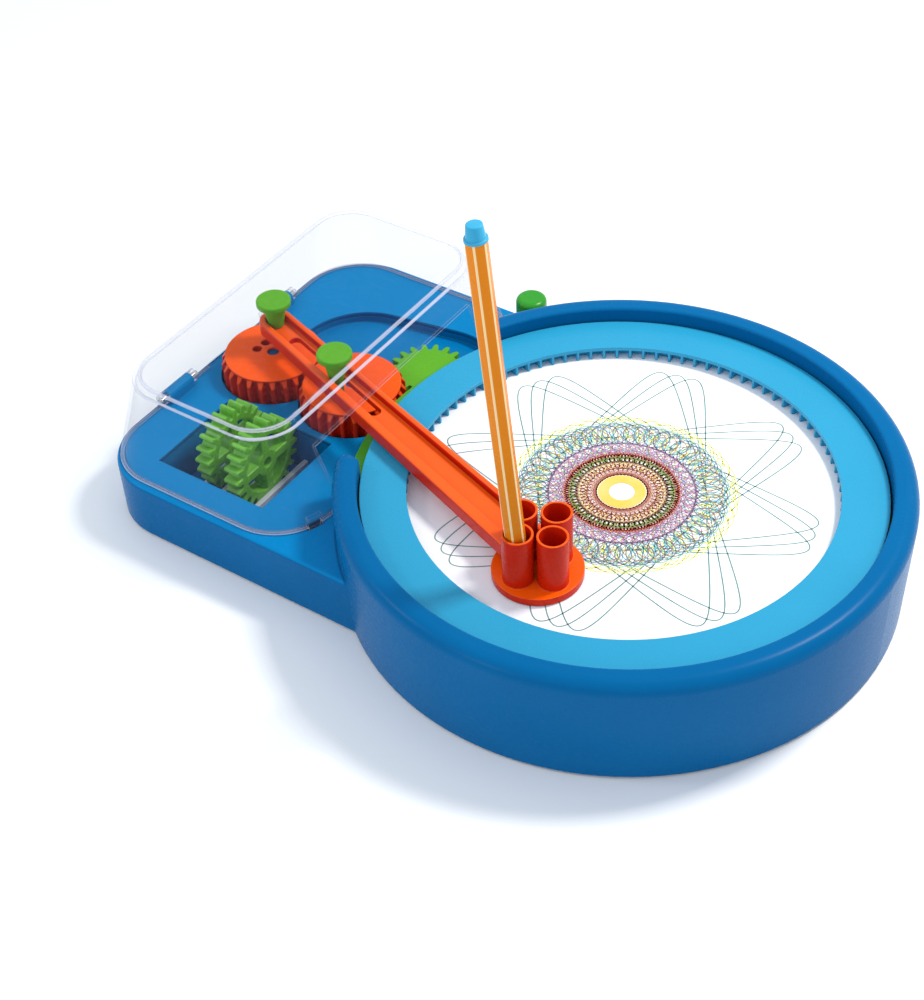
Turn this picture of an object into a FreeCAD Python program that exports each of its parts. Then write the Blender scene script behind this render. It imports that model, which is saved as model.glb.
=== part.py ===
import FreeCAD, Part
import Sketcher
import math
import operator
import os

# Spiral drawing machine: a blue case with a round drum, a turntable that carries a paper disc,
# two crank gears under a clear hinged cover, and an arm that they swing over the paper.
# Millimetres, +Z up. The origin is on the table under the middle of the outline, and the
# drum is towards +X.

SIZES = {
    "overall_length": 291.4,
    "wall": 2.2,
    "stand_height": 1.2,
    "plate": 2.0,
    "fit": 0.15,
    "running": 0.4,
    "pivot_play": 0.05,
    "drum_radius": 104.0,
    "drum_foot_radius": 103.0,
    "drum_bore": 101.3,
    "rim_height": 46.0,
    "rim_roll": 4.8,
    "rim_inner_radius": 95.0,
    "rim_inner_round": 1.2,
    "rim_gap_angle": 28.2,
    "box_width": 165.0,
    "box_corner": 28.0,
    "deck_height": 24.4,
    "edge_round": 1.6,
    "groove_depth": 0.6,
    "tooth_module": 1.5,
    "mesh_gap": 0.1,
    "turntable_teeth": 130,
    "change_teeth": 19,
    "crank_teeth": 26,
    "inner_teeth": 120,
    "output_teeth": 12,
    "change_bearing": 16.0,
    "output_bearing": 120.0,
    "wheel_module": 0.8,
    "wheel_teeth": 36,
    "wheel_pinion_teeth": 10,
    "motor_module": 0.6,
    "motor_wheel_teeth": 50,
    "motor_pinion_teeth": 10,
    "flange_radius": 100.2,
    "turntable_height": 34.3,
    "turntable_plate": 2.6,
    "skirt_bottom": 12.0,
    "hub_radius": 9.0,
    "hub_bottom": 14.0,
    "spindle_radius": 4.0,
    "bush_radius": 6.0,
    "paper_radius": 93.6,
    "paper_thick": 0.6,
    "ring_radius": 94.2,
    "ring_thick": 5.2,
    "ring_teeth": 96,
    "ring_bore": 77.4,
    "ring_tooth_depth": 3.2,
    "ring_lip": 1.4,
    "well_floor": 19.6,
    "well_gap": 0.9,
    "tray_wall": 1.6,
    "recess_radius": 28.7,
    "recess_x": 136.5,
    "recess_y": 26.0,
    "crank_bottom": 21.2,
    "crank_height": 11.8,
    "crank_disc_radius": 19.3,
    "crank_disc_height": 0.8,
    "change_bottom": 20.2,
    "change_thick": 5.8,
    "crank_post_radius": 2.4,
    "change_post_radius": 2.0,
    "crank_throw": 5.0,
    "crank_pin_angle": 100.0,
    "guide_throw": 9.6,
    "guide_pin_angle": 276.0,
    "pin_head_radius": 6.9,
    "pin_head_thick": 2.2,
    "pin_head_height": 56.0,
    "pin_neck_radius": 4.8,
    "pin_waist_radius": 3.0,
    "pin_shank_radius": 2.4,
    "pin_stud_radius": 1.9,
    "pin_stud_depth": 4.0,
    "arm_length": 167.6,
    "arm_gap": 0.9,
    "arm_end_radius": 6.6,
    "arm_root_radius": 8.6,
    "arm_web": 2.4,
    "arm_channel_near": 3.8,
    "arm_channel_far": 4.4,
    "arm_rib_height": 5.6,
    "slot_start": 14.0,
    "slot_end": 69.0,
    "holder_radius": 16.1,
    "holder_thick": 2.8,
    "holder_lift": 0.4,
    "tube_radius": 5.5,
    "tube_bore": 4.7,
    "tube_circle": 8.45,
    "tube_height": 58.6,
    "pen_guide_height": 48.5,
    "pen_lean": 4.5,
    "pen_lean_bearing": 200.0,
    "pen_length": 146.0,
    "pen_corner_radius": 3.8,
    "pen_lift": 0.1,
    "pen_nib_radius": 0.5,
    "pen_nib_length": 2.4,
    "pen_cone_length": 10.0,
    "pen_cone_radius": 1.4,
    "pen_plug_length": 7.0,
    "pen_plug_radius": 3.1,
    "pen_plug_depth": 8.0,
    "pen_flange": 1.8,
    "pen_bore": 2.7,
    "pen_core_length": 84.0,
    "pit_length": 50.8,
    "pit_width": 42.6,
    "pit_right": 113.7,
    "pit_front": 67.0,
    "pit_floor": 4.8,
    "pit_rib": 2.0,
    "pit_rib_height": 4.6,
    "spare_thick": 6.6,
    "spare_small_teeth": 21,
    "spare_large_teeth": 22,
    "spare_pitch": 16.5,
    "spare_bore": 2.2,
    "cover_top": 61.0,
    "cover_thick": 1.4,
    "cover_round": 4.6,
    "cover_left_gap": 1.8,
    "cover_side_gap": 2.6,
    "cover_right": 89.3,
    "cover_corner": 24.0,
    "cover_top_corner": 18.0,
    "cover_left_slope": 13.0,
    "cover_side_slope": 15.5,
    "cover_right_slope": 23.0,
    "cover_opening_width": 100.0,
    "cover_opening_height": 48.2,
    "hook_width": 6.0,
    "hook_depth": 2.6,
    "hinge_spacing": 64.0,
    "hinge_height": 27.6,
    "hinge_pin_radius": 1.0,
    "lug_radius": 2.6,
    "lug_width": 13.6,
    "ear_width": 3.0,
    "button_x": 86.0,
    "button_y": 74.4,
    "button_radius": 6.2,
    "button_round": 2.2,
    "button_stem_radius": 4.2,
    "button_height": 42.0,
    "button_travel": 2.0,
    "battery_radius": 7.1,
    "battery_length": 50.0,
    "battery_pitch": 15.4,
    "bay_start": 20.0,
    "contact_thick": 0.6,
    "motor_radius": 12.2,
    "motor_bottom": 4.6,
    "motor_height": 12.3,
    "motor_shaft_radius": 1.0,
    "post_radius": 2.0,
    "wire_radius": 0.7,
    "foot_radius": 6.0,
    "screw_radius": 1.4,
    "screw_head_radius": 2.8,
}

doc = FreeCAD.newDocument("spiral_drawing_machine")
sheet = doc.addObject("Spreadsheet::Sheet", "Sizes")
for row, (name, value) in enumerate(SIZES.items(), start=1):
    sheet.set("A%d" % row, name)
    sheet.set("B%d" % row, str(value))
    sheet.setAlias("B%d" % row, name)
doc.recompute()

# Sizes read from the sheet


class Size:
    """A value together with the sheet expression that it is bound to."""

    def __init__(self, text, value):
        self.text = text
        self.value = value

    def __float__(self):
        return self.value

    def __neg__(self):
        return Size("(-%s)" % self.text, -self.value)

    def __add__(self, other):
        return joined(self, "+", other, operator.add)

    def __radd__(self, other):
        return joined(other, "+", self, operator.add)

    def __sub__(self, other):
        return joined(self, "-", other, operator.sub)

    def __rsub__(self, other):
        return joined(other, "-", self, operator.sub)

    def __mul__(self, other):
        return joined(self, "*", other, operator.mul)

    def __rmul__(self, other):
        return joined(other, "*", self, operator.mul)

    def __truediv__(self, other):
        return joined(self, "/", other, operator.truediv)


def text_of(value):
    return value.text if isinstance(value, Size) else "(%r)" % float(value)


def joined(first, sign, second, work):
    text = "(%s %s %s)" % (text_of(first), sign, text_of(second))
    return Size(text, work(float(first), float(second)))


def function(name, value, result):
    return Size("%s(%s)" % (name, text_of(value)), result)


def cosine(angle):
    return function("cos", angle, math.cos(math.radians(float(angle))))


def sine(angle):
    return function("sin", angle, math.sin(math.radians(float(angle))))


def tangent(angle):
    return function("tan", angle, math.tan(math.radians(float(angle))))


def root(value):
    return function("sqrt", value, math.sqrt(float(value)))


class SheetSizes:
    """Gives each alias of the sheet as a Size."""

    def __getattr__(self, name):
        return Size("Sizes." + name, float(sheet.get(name)))


S = SheetSizes()

# Making and placing shapes

UPRIGHT = FreeCAD.Rotation()
ALONG_X = FreeCAD.Rotation(FreeCAD.Vector(0, 1, 0), 90)
ALONG_Y = FreeCAD.Rotation(FreeCAD.Vector(1, 0, 0), -90)
ABOUT_Z = FreeCAD.Vector(0, 0, 1)
pieces = {}


def vector(x, y, z=0.0):
    return FreeCAD.Vector(float(x), float(y), float(z))


def bind(item, prop, value):
    if isinstance(value, Size):
        item.setExpression(prop, value.text)
    else:
        setattr(item, prop, value)


def put(item, at, turn=UPRIGHT):
    item.Placement = FreeCAD.Placement(vector(*at), turn)
    for axis, value in zip("xyz", at):
        if isinstance(value, Size):
            item.setExpression("Placement.Base." + axis, value.text)
    return item


def cylinder(name, radius, height, at=(0, 0, 0), turn=UPRIGHT):
    item = doc.addObject("Part::Cylinder", name)
    bind(item, "Radius", radius)
    bind(item, "Height", height)
    return put(item, at, turn)


def cone(name, low_radius, high_radius, height, at=(0, 0, 0), turn=UPRIGHT):
    item = doc.addObject("Part::Cone", name)
    bind(item, "Radius1", low_radius)
    bind(item, "Radius2", high_radius)
    bind(item, "Height", height)
    return put(item, at, turn)


def box(name, lengths, at=(0, 0, 0), turn=UPRIGHT):
    item = doc.addObject("Part::Box", name)
    for prop, value in zip(("Length", "Width", "Height"), lengths):
        bind(item, prop, value)
    return put(item, at, turn)


def prism(name, corners, radius, height, at=(0, 0, 0), turn=UPRIGHT):
    item = doc.addObject("Part::Prism", name)
    item.Polygon = corners
    bind(item, "Circumradius", radius)
    bind(item, "Height", height)
    return put(item, at, turn)


def fuse(name, *parts):
    item = parts[0]
    for part in parts[1:]:
        pair = doc.addObject("Part::Fuse", name)
        pair.Base = item
        pair.Tool = part
        pair.Refine = False
        item = pair
    return item


def cut(name, base, *tools):
    item = doc.addObject("Part::Cut", name)
    item.Base = base
    item.Tool = tools[0] if len(tools) == 1 else fuse(name + "_tools", *tools)
    return item


def common(name, first, second):
    item = doc.addObject("Part::Common", name)
    item.Base = first
    item.Tool = second
    return item


def group(name, parts):
    item = doc.addObject("Part::Compound", name)
    item.Links = list(parts)
    return item


def coded(name, shape, at=(0, 0, 0), turn=UPRIGHT):
    item = doc.addObject("Part::Feature", name)
    item.Shape = shape
    return put(item, at, turn)


def piece(node, item):
    item.Label = node
    pieces[node] = item
    return item


def origin_plane(body, role):
    return next(plane for plane in body.Origin.OriginFeatures if plane.Role == role)


def outline_sketch(body, role, points):
    """A closed outline whose every corner is bound to the sheet."""
    sketch = body.newObject("Sketcher::SketchObject", body.Name + "_sketch")
    sketch.AttachmentSupport = [(origin_plane(body, role), "")]
    sketch.MapMode = "FlatFace"
    for start, end in zip(points, points[1:] + points[:1]):
        sketch.addGeometry(Part.LineSegment(vector(*start), vector(*end)), False)
    count = len(points)
    for index in range(count):
        sketch.addConstraint(Sketcher.Constraint("Coincident", index, 2, (index + 1) % count, 1))
    for index, (across, up) in enumerate(points):
        for kind, value, axis in (("DistanceX", across, -2), ("DistanceY", up, -1)):
            if abs(float(value)) < 1e-9:
                sketch.addConstraint(Sketcher.Constraint("PointOnObject", index, 1, axis))
                continue
            number = sketch.addConstraint(Sketcher.Constraint(kind, index, 1, float(value)))
            if isinstance(value, Size):
                sketch.setExpression("Constraints[%d]" % number, value.text)
    return sketch


def turned(name, points, at=(0, 0, 0), turn=UPRIGHT):
    """A body of revolution about Z, from corners given as radius and height."""
    body = doc.addObject("PartDesign::Body", name)
    sketch = outline_sketch(body, "XZ_Plane", points)
    revolution = body.newObject("PartDesign::Revolution", name + "_turn")
    revolution.Profile = sketch
    revolution.ReferenceAxis = (sketch, ["V_Axis"])
    revolution.Angle = 360
    return put(body, at, turn)


def padded(name, points, height, at=(0, 0, 0), turn=UPRIGHT):
    body = doc.addObject("PartDesign::Body", name)
    sketch = outline_sketch(body, "XY_Plane", points)
    pad = body.newObject("PartDesign::Pad", name + "_pad")
    pad.Profile = sketch
    bind(pad, "Length", height)
    return put(body, at, turn)


def rounded(body, radius, chosen):
    """Fillets the edges of a body that the test picks out."""
    doc.recompute()
    last = body.Tip
    names = []
    for number, edge in enumerate(last.Shape.Edges, start=1):
        if chosen(edge):
            names.append("Edge%d" % number)
    fillet = body.newObject("PartDesign::Fillet", body.Name + "_round")
    fillet.Base = (last, names)
    bind(fillet, "Radius", radius)
    return body


def is_upright(edge):
    low, high = edge.BoundBox.ZMin, edge.BoundBox.ZMax
    return high - low > 1e-6 and abs(edge.Length - (high - low)) < 1e-6


def lies_at(height):
    """A test for edges that lie flat at a height of the body's own frame."""
    def chosen(edge):
        bounds = edge.BoundBox
        return abs(bounds.ZMin - float(height)) < 1e-4 and abs(bounds.ZMax - float(height)) < 1e-4
    return chosen


def block(name, left, right, half_width, bottom, top, corner):
    """A block with round upright corners."""
    points = [(left, -half_width), (right, -half_width), (right, half_width), (left, half_width)]
    body = padded(name, points, top - bottom, (0, 0, bottom))
    return rounded(body, corner, is_upright)


def edge_loop(points):
    return Part.Wire([Part.makeLine(start, end) for start, end in zip(points, points[1:] + points[:1])])


def around(radius, angle, height=0.0):
    turn = math.radians(angle)
    return vector(float(radius) * math.cos(turn), float(radius) * math.sin(turn), height)


def toothed_face(teeth, steps, phase, height=0.0):
    """A toothed outline: steps gives, from root to tip, radius and width as a share of the pitch."""
    pitch = 360.0 / teeth
    points = []
    for number in range(teeth):
        middle = phase + number * pitch
        for radius, share in steps:
            points.append(around(radius, middle - share * pitch / 2, height))
        for radius, share in reversed(steps):
            points.append(around(radius, middle + share * pitch / 2, height))
    return Part.Face(edge_loop(points))


PRESSURE = math.tan(math.radians(20))
ADDENDUM = 0.95
DEDENDUM = 1.2
BACKLASH = 0.2
LEAST_ROOT = 0.62
FEW_TEETH = 40


def gear_steps(teeth, module):
    """Radius and width share at the root, pitch line and tip of straight-flanked teeth."""
    pitch_radius = teeth * module / 2
    steps = []
    for depth in (-DEDENDUM, 0.0, ADDENDUM):
        radius = pitch_radius + depth * module
        width = (math.pi / 2 - BACKLASH / 2 - 2 * depth * PRESSURE) * module
        share = width / (2 * math.pi * radius / teeth)
        steps.append((radius, min(share, LEAST_ROOT) if depth < 0 and teeth < FEW_TEETH else share))
    return steps if teeth < FEW_TEETH else [steps[0], steps[2]]


def inner_steps(teeth, module):
    """The same for the gaps of teeth that point inwards, from their tips out to their roots."""
    pitch_radius = teeth * module / 2
    steps = []
    for depth in (-ADDENDUM, DEDENDUM):
        radius = pitch_radius + depth * module
        width = (math.pi / 2 + BACKLASH / 2 - 2 * depth * PRESSURE) * module
        steps.append((radius, width / (2 * math.pi * radius / teeth)))
    return steps


def spur(teeth, module, phase, bottom, height):
    face = toothed_face(teeth, gear_steps(teeth, module), phase, float(bottom))
    return face.extrude(vector(0, 0, height))


def disc(radius, bottom, height, x=0.0, y=0.0):
    return Part.makeCylinder(float(radius), float(height), vector(x, y, bottom))


def meshed_phase(phase, teeth, other_teeth, bearing):
    """Phase of the second gear, at a bearing from the first, so that its teeth fall in the gaps."""
    along = (bearing - phase) * teeth / 360.0
    return bearing + 180 - (0.5 - along) * 360.0 / other_teeth


def inner_meshed_phase(phase, teeth, other_teeth, bearing):
    along = (bearing - phase) * teeth / 360.0
    return bearing - (along - 0.5) * 360.0 / other_teeth


def bearing_of(start, end):
    return math.degrees(math.atan2(float(end[1]) - float(start[1]), float(end[0]) - float(start[0])))


# Heights and places that follow from the sizes

DRUM_X = S.overall_length / 2 - S.drum_radius
BOX_LEFT = -S.overall_length / 2
HALF_BOX = S.box_width / 2
PLATE_TOP = S.stand_height + S.plate
DECK_UNDER = S.deck_height - S.wall
TURNTABLE_UNDER = S.turntable_height - S.turntable_plate
RIM_LIP = S.turntable_height + S.running
PAPER_TOP = S.turntable_height + S.paper_thick
RING_TOP = PAPER_TOP + S.ring_thick
ARM_BOTTOM = RING_TOP + S.arm_gap
ARM_WEB_TOP = ARM_BOTTOM + S.arm_web
CRANK_TEETH_TOP = S.crank_bottom + S.crank_height
CRANK_TOP = CRANK_TEETH_TOP + S.crank_disc_height
HOLDER_BOTTOM = PAPER_TOP + S.holder_lift

MODULE = float(S.tooth_module)
TURNTABLE_TEETH = int(S.turntable_teeth.value)
CHANGE_TEETH = int(S.change_teeth.value)
CRANK_TEETH = int(S.crank_teeth.value)
INNER_TEETH = int(S.inner_teeth.value)
OUTPUT_TEETH = int(S.output_teeth.value)
WHEEL_TEETH = int(S.wheel_teeth.value)
WHEEL_PINION_TEETH = int(S.wheel_pinion_teeth.value)
MOTOR_WHEEL_TEETH = int(S.motor_wheel_teeth.value)
MOTOR_PINION_TEETH = int(S.motor_pinion_teeth.value)


def polar(centre, radius, angle):
    return (centre[0] + radius * cosine(angle), centre[1] + radius * sine(angle))


def spacing(first_teeth, second_teeth, module):
    return (first_teeth + second_teeth) * module / 2 + S.mesh_gap


DRUM = (DRUM_X, Size("0", 0.0))
change_distance = spacing(S.turntable_teeth, S.change_teeth, S.tooth_module)
CHANGE = polar(DRUM, change_distance, 180 - S.change_bearing)
crank_distance = spacing(S.change_teeth, S.crank_teeth, S.tooth_module)
CRANK_2 = (CHANGE[0] - root(crank_distance * crank_distance - CHANGE[1] * CHANGE[1]), DRUM[1])
CRANK_1 = (CRANK_2[0] - spacing(S.crank_teeth, S.crank_teeth, S.tooth_module), DRUM[1])
PIN_1 = polar(CRANK_1, S.crank_throw, S.crank_pin_angle)
PIN_2 = polar(CRANK_2, S.guide_throw, S.guide_pin_angle)
arm_run = (PIN_2[0] - PIN_1[0], PIN_2[1] - PIN_1[1])
PIN_SPACING = root(arm_run[0] * arm_run[0] + arm_run[1] * arm_run[1])
HOLDER = (PIN_1[0] + S.arm_length * arm_run[0] / PIN_SPACING,
          PIN_1[1] + S.arm_length * arm_run[1] / PIN_SPACING)
ARM_TURN = FreeCAD.Rotation(ABOUT_Z, bearing_of(PIN_1, PIN_2))

OUTPUT_RADIUS = (S.inner_teeth - S.output_teeth) * S.tooth_module / 2 - S.mesh_gap
WHEEL_RADIUS = OUTPUT_RADIUS - spacing(S.wheel_teeth, S.wheel_pinion_teeth, S.wheel_module)
MOTOR_AXIS_RADIUS = WHEEL_RADIUS - spacing(S.motor_wheel_teeth, S.motor_pinion_teeth, S.motor_module)
OUTPUT = polar(DRUM, OUTPUT_RADIUS, S.output_bearing)
WHEEL = polar(DRUM, WHEEL_RADIUS, S.output_bearing)
MOTOR = polar(DRUM, MOTOR_AXIS_RADIUS, S.output_bearing)
TRAIN_TURN = FreeCAD.Rotation(ABOUT_Z, float(S.output_bearing) + 90)

# Tooth phases, so that every pair of gears meshes at rest

TURNTABLE_PHASE = 0.0
CHANGE_PHASE = meshed_phase(TURNTABLE_PHASE, TURNTABLE_TEETH, CHANGE_TEETH, bearing_of(DRUM, CHANGE))
CRANK_2_PHASE = meshed_phase(CHANGE_PHASE, CHANGE_TEETH, CRANK_TEETH, bearing_of(CHANGE, CRANK_2))
CRANK_1_PHASE = meshed_phase(CRANK_2_PHASE, CRANK_TEETH, CRANK_TEETH, bearing_of(CRANK_2, CRANK_1))
OUTPUT_PHASE = inner_meshed_phase(TURNTABLE_PHASE, INNER_TEETH, OUTPUT_TEETH, bearing_of(DRUM, OUTPUT))
INWARD = bearing_of(OUTPUT, WHEEL)
WHEEL_PHASE = meshed_phase(OUTPUT_PHASE, WHEEL_TEETH, WHEEL_PINION_TEETH, INWARD)
MOTOR_PHASE = meshed_phase(WHEEL_PHASE, MOTOR_WHEEL_TEETH, MOTOR_PINION_TEETH, INWARD)

# Main housing: a box with round corners that runs into a round drum with a rolled rim

TALL = S.rim_height * 2


def drum_core(name, radius, bottom=0.0, height=TALL):
    return cylinder(name, radius, height, (DRUM_X, 0, bottom))


def circle_at(height, radius):
    """A test for the round edge of a turned body at a height and radius."""
    def chosen(edge):
        curve = edge.Curve
        if not isinstance(curve, Part.Circle):
            return False
        return abs(curve.Radius - float(radius)) < 1e-3 and abs(curve.Center.z - float(height)) < 1e-3
    return chosen


drum_wall = turned("drum_wall", [
    (S.drum_foot_radius, S.stand_height),
    (S.drum_radius, S.rim_height - S.rim_roll),
    (S.drum_radius, S.rim_height),
    (S.rim_inner_radius, S.rim_height),
    (S.rim_inner_radius, RIM_LIP),
    (S.drum_bore, RIM_LIP),
    (S.drum_bore, S.stand_height),
], (DRUM_X, 0, 0))
rounded(drum_wall, S.rim_roll - 0.01, circle_at(S.rim_height, S.drum_radius))
rounded(drum_wall, S.rim_inner_round, circle_at(S.rim_height, S.rim_inner_radius))

box_outer = block("box_outer", BOX_LEFT, DRUM_X, HALF_BOX, S.stand_height, S.deck_height, S.box_corner)
rounded(box_outer, S.edge_round, lies_at(S.deck_height - S.stand_height))
box_inner = block("box_inner", BOX_LEFT + S.wall, DRUM_X, HALF_BOX - S.wall, S.stand_height - S.plate,
                  DECK_UNDER, S.box_corner - S.wall)

RIM_WIDTH = S.drum_radius - S.rim_inner_radius
NOSE_STEP = 0.1
NOSE_FLAT = 0.3
NOSE_RADIUS = RIM_WIDTH / 2 - NOSE_STEP
nose_circle = S.drum_radius - RIM_WIDTH / 2
gap_reach = S.drum_radius * 1.5
gap_half = gap_reach * tangent(S.rim_gap_angle)
rim_gap = padded("rim_gap", [(0, 0), (-gap_reach, gap_half), (-gap_reach, -gap_half)], TALL,
                 (DRUM_X, 0, S.deck_height))


def rim_nose(name, angle):
    """The round end of the rim beside its gap."""
    height = S.rim_height - NOSE_STEP - S.deck_height
    post = turned(name, [(0, 0), (NOSE_RADIUS, 0), (NOSE_RADIUS, height), (0, height)],
                  (*polar(DRUM, nose_circle, angle), S.deck_height))
    rounded(post, NOSE_RADIUS - NOSE_FLAT, circle_at(height, NOSE_RADIUS))
    return cut(name + "_cut", post, drum_core(name + "_bore", S.drum_bore, 0.0, RIM_LIP))


drum_shell = cut("drum_shell", drum_wall, rim_gap, box_inner)
box_shell = cut("box_shell", box_outer, box_inner, drum_core("box_drum_bore", S.drum_bore))

SCREW_BOSS = 3.6
BOSS_BITE = 0.2
boss_radius = S.drum_bore - SCREW_BOSS + BOSS_BITE
corner_screw_x = BOX_LEFT + 15.4
corner_screw_y = HALF_BOX - 16.5
BOX_SCREWS = [(corner_screw_x, corner_screw_y), (corner_screw_x, -corner_screw_y)]
DRUM_SCREWS = [polar(DRUM, boss_radius, angle) for angle in (0.0, 62.0, 298.0)]
drum_boss_height = S.skirt_bottom - S.running - PLATE_TOP
bosses = [cylinder("box_boss", SCREW_BOSS, DECK_UNDER - PLATE_TOP, (*at, PLATE_TOP)) for at in BOX_SCREWS]
bosses += [cylinder("drum_boss", SCREW_BOSS, drum_boss_height, (*at, PLATE_TOP)) for at in DRUM_SCREWS]
screw_depth = 6.4
boss_holes = [cylinder("boss_hole", S.screw_radius, screw_depth, (*at, PLATE_TOP))
              for at in BOX_SCREWS + DRUM_SCREWS]

# Outline of the clear cover's foot, which the hinge lugs and the deck's groove follow

COVER_BOTTOM = S.deck_height + 0.3
COVER_LEFT = BOX_LEFT + S.cover_left_gap
COVER_RIGHT = DRUM_X - S.cover_right
COVER_HALF = HALF_BOX - S.cover_side_gap
HINGE_X = (COVER_LEFT + S.cover_thick / 2
           + (S.hinge_height - COVER_BOTTOM) * tangent(S.cover_left_slope))
HINGE_YS = [-S.hinge_spacing / 2, S.hinge_spacing / 2]


def hinge_lug(name, middle):
    front = middle - S.lug_width / 2
    low = S.deck_height - S.edge_round
    barrel = cylinder(name + "_barrel", S.lug_radius, S.lug_width, (HINGE_X, front, S.hinge_height), ALONG_Y)
    foot = box(name + "_foot", (S.lug_radius * 2, S.lug_width, S.hinge_height - low),
               (HINGE_X - S.lug_radius, front, low))
    return fuse(name, barrel, foot)


lugs = [hinge_lug("hinge_lug", middle) for middle in HINGE_YS]
PIN_REACH = S.lug_width / 2 + S.fit + S.ear_width
lug_bores = [cylinder("lug_bore", S.hinge_pin_radius, PIN_REACH * 2,
                      (HINGE_X, middle - PIN_REACH, S.hinge_height), ALONG_Y) for middle in HINGE_YS]

GROOVE_SIDE = 0.5
groove_low = S.deck_height - S.groove_depth
groove_outer = block("groove_outer", COVER_LEFT - GROOVE_SIDE, COVER_RIGHT + GROOVE_SIDE,
                     COVER_HALF + GROOVE_SIDE, groove_low, TALL, S.cover_corner + GROOVE_SIDE)
groove_side = S.cover_thick + GROOVE_SIDE
groove_inner = block("groove_inner", COVER_LEFT + groove_side, COVER_RIGHT - groove_side,
                     COVER_HALF - groove_side, groove_low, TALL, S.cover_corner - groove_side)
groove = cut("groove", groove_outer, groove_inner)

HOOK_BEARING = 20.0
HOOK_THICK = 2.0
hook_centre = (COVER_RIGHT - S.cover_corner, COVER_HALF - S.cover_corner)
hook_circle = S.cover_corner - HOOK_THICK / 2


def hook_block(name, side, margin, bottom, top):
    """An upright slab on the round corner of the cover's foot, on the side given as 1 or -1."""
    x, y = polar(hook_centre, hook_circle, HOOK_BEARING)
    half_long = S.hook_width / 2 + margin
    half_thick = HOOK_THICK / 2 + margin
    slab = padded(name, [(-half_thick, -half_long), (half_thick, -half_long),
                         (half_thick, half_long), (-half_thick, half_long)], top - bottom)
    turn = FreeCAD.Rotation(ABOUT_Z, side * HOOK_BEARING)
    return put(slab, (x, side * y, bottom), turn)


HOOK_PLAY = 0.6
CUT_THROUGH = 1.0
hook_slots = [hook_block("hook_slot", side, HOOK_PLAY, DECK_UNDER - CUT_THROUGH, TALL) for side in (1, -1)]

# The wells that the gears turn in, and the pit that holds the spare gears

CRANK_TIP = (S.crank_teeth / 2 + ADDENDUM) * S.tooth_module
WELL_RADIUS = CRANK_TIP + S.well_gap
RECESS = (DRUM_X - S.recess_x, S.recess_y)
recess_run = (CHANGE[0] - RECESS[0], CHANGE[1] - RECESS[1])
RECESS_LENGTH = root(recess_run[0] * recess_run[0] + recess_run[1] * recess_run[1])
RECESS_TURN = bearing_of(RECESS, CHANGE)


def wells(name, margin, bottom, height):
    round_wells = [cylinder(name + "_crank", WELL_RADIUS + margin, height, (*at, bottom))
                   for at in (CRANK_1, CRANK_2)]
    ends = [cylinder(name + "_end", S.recess_radius + margin, height, (*at, bottom))
            for at in (RECESS, CHANGE)]
    half = S.recess_radius + margin
    middle = padded(name + "_middle", [(0, -half), (RECESS_LENGTH, -half), (RECESS_LENGTH, half), (0, half)],
                    height)
    put(middle, (*RECESS, bottom), FreeCAD.Rotation(ABOUT_Z, RECESS_TURN))
    return fuse(name, *round_wells, *ends, middle)


PIT_RIGHT = DRUM_X - S.pit_right
PIT_LEFT = PIT_RIGHT - S.pit_length
PIT_FRONT = -S.pit_front


def pit(name, margin, bottom, height):
    return box(name, (S.pit_length + margin * 2, S.pit_width + margin * 2, height),
               (PIT_LEFT - margin, PIT_FRONT - margin, bottom))


BUTTON = (DRUM_X - S.button_x, S.button_y)
button_hole = cylinder("button_hole", S.button_stem_radius + S.fit * 2, S.wall * 3,
                       (*BUTTON, DECK_UNDER - S.wall))
deck_pit = pit("deck_pit", 0, DECK_UNDER - CUT_THROUGH, S.wall + CUT_THROUGH * 2)
box_top = cut("box_top", box_shell, deck_pit, button_hole, groove, *hook_slots)
noses = [rim_nose("rim_nose", 180 - S.rim_gap_angle), rim_nose("rim_nose", 180 + S.rim_gap_angle)]
housing_solid = fuse("housing_solid", box_top, drum_shell, *noses, *lugs, *bosses)
WELL_TRIM = 0.1
well_floor_cut = wells("well_floor_cut", 0, DECK_UNDER - WELL_TRIM, S.wall * 3)
piece("main_housing", cut("housing", housing_solid, well_floor_cut, *boss_holes, *lug_bores))

# Gear tray under the deck: the floors and walls of the wells and the pit

tray_bottom = S.well_floor - S.tray_wall
tray_wells = wells("tray_wells", S.tray_wall, tray_bottom, DECK_UNDER - tray_bottom)
tray_pit = pit("tray_pit", S.tray_wall, PLATE_TOP, DECK_UNDER - PLATE_TOP)
tray_hollow = wells("tray_hollow", 0, S.well_floor, TALL)
pit_hollow = pit("pit_hollow", 0, S.pit_floor, TALL)
TURNTABLE_TIP = (S.turntable_teeth / 2 + ADDENDUM) * S.tooth_module
skirt_room = drum_core("skirt_room", TURNTABLE_TIP + S.well_gap)
tray_solid = cut("tray_solid", fuse("tray_blank", tray_wells, tray_pit), tray_hollow, pit_hollow, skirt_room)
housing_inside = block("tray_limit", BOX_LEFT + S.wall + S.fit, DRUM_X, HALF_BOX - S.wall - S.fit,
                       PLATE_TOP, DECK_UNDER, S.box_corner - S.wall - S.fit)
piece("gear_tray", common("tray", tray_solid, housing_inside))

# Bottom cover: the base plate, with everything that stands on it

plate_box = block("plate_box", BOX_LEFT + S.wall + S.fit, DRUM_X, HALF_BOX - S.wall - S.fit,
                  S.stand_height, PLATE_TOP, S.box_corner - S.wall - S.fit)
plate_disc = drum_core("plate_disc", S.drum_bore - S.fit, S.stand_height, S.plate)

SPINDLE_BOSS = 8.0
spindle_boss_top = S.hub_bottom - S.running
spindle_boss = drum_core("spindle_boss", SPINDLE_BOSS, PLATE_TOP, spindle_boss_top - PLATE_TOP)
spindle_hole = drum_core("spindle_hole", S.spindle_radius, PLATE_TOP, TALL)

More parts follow.
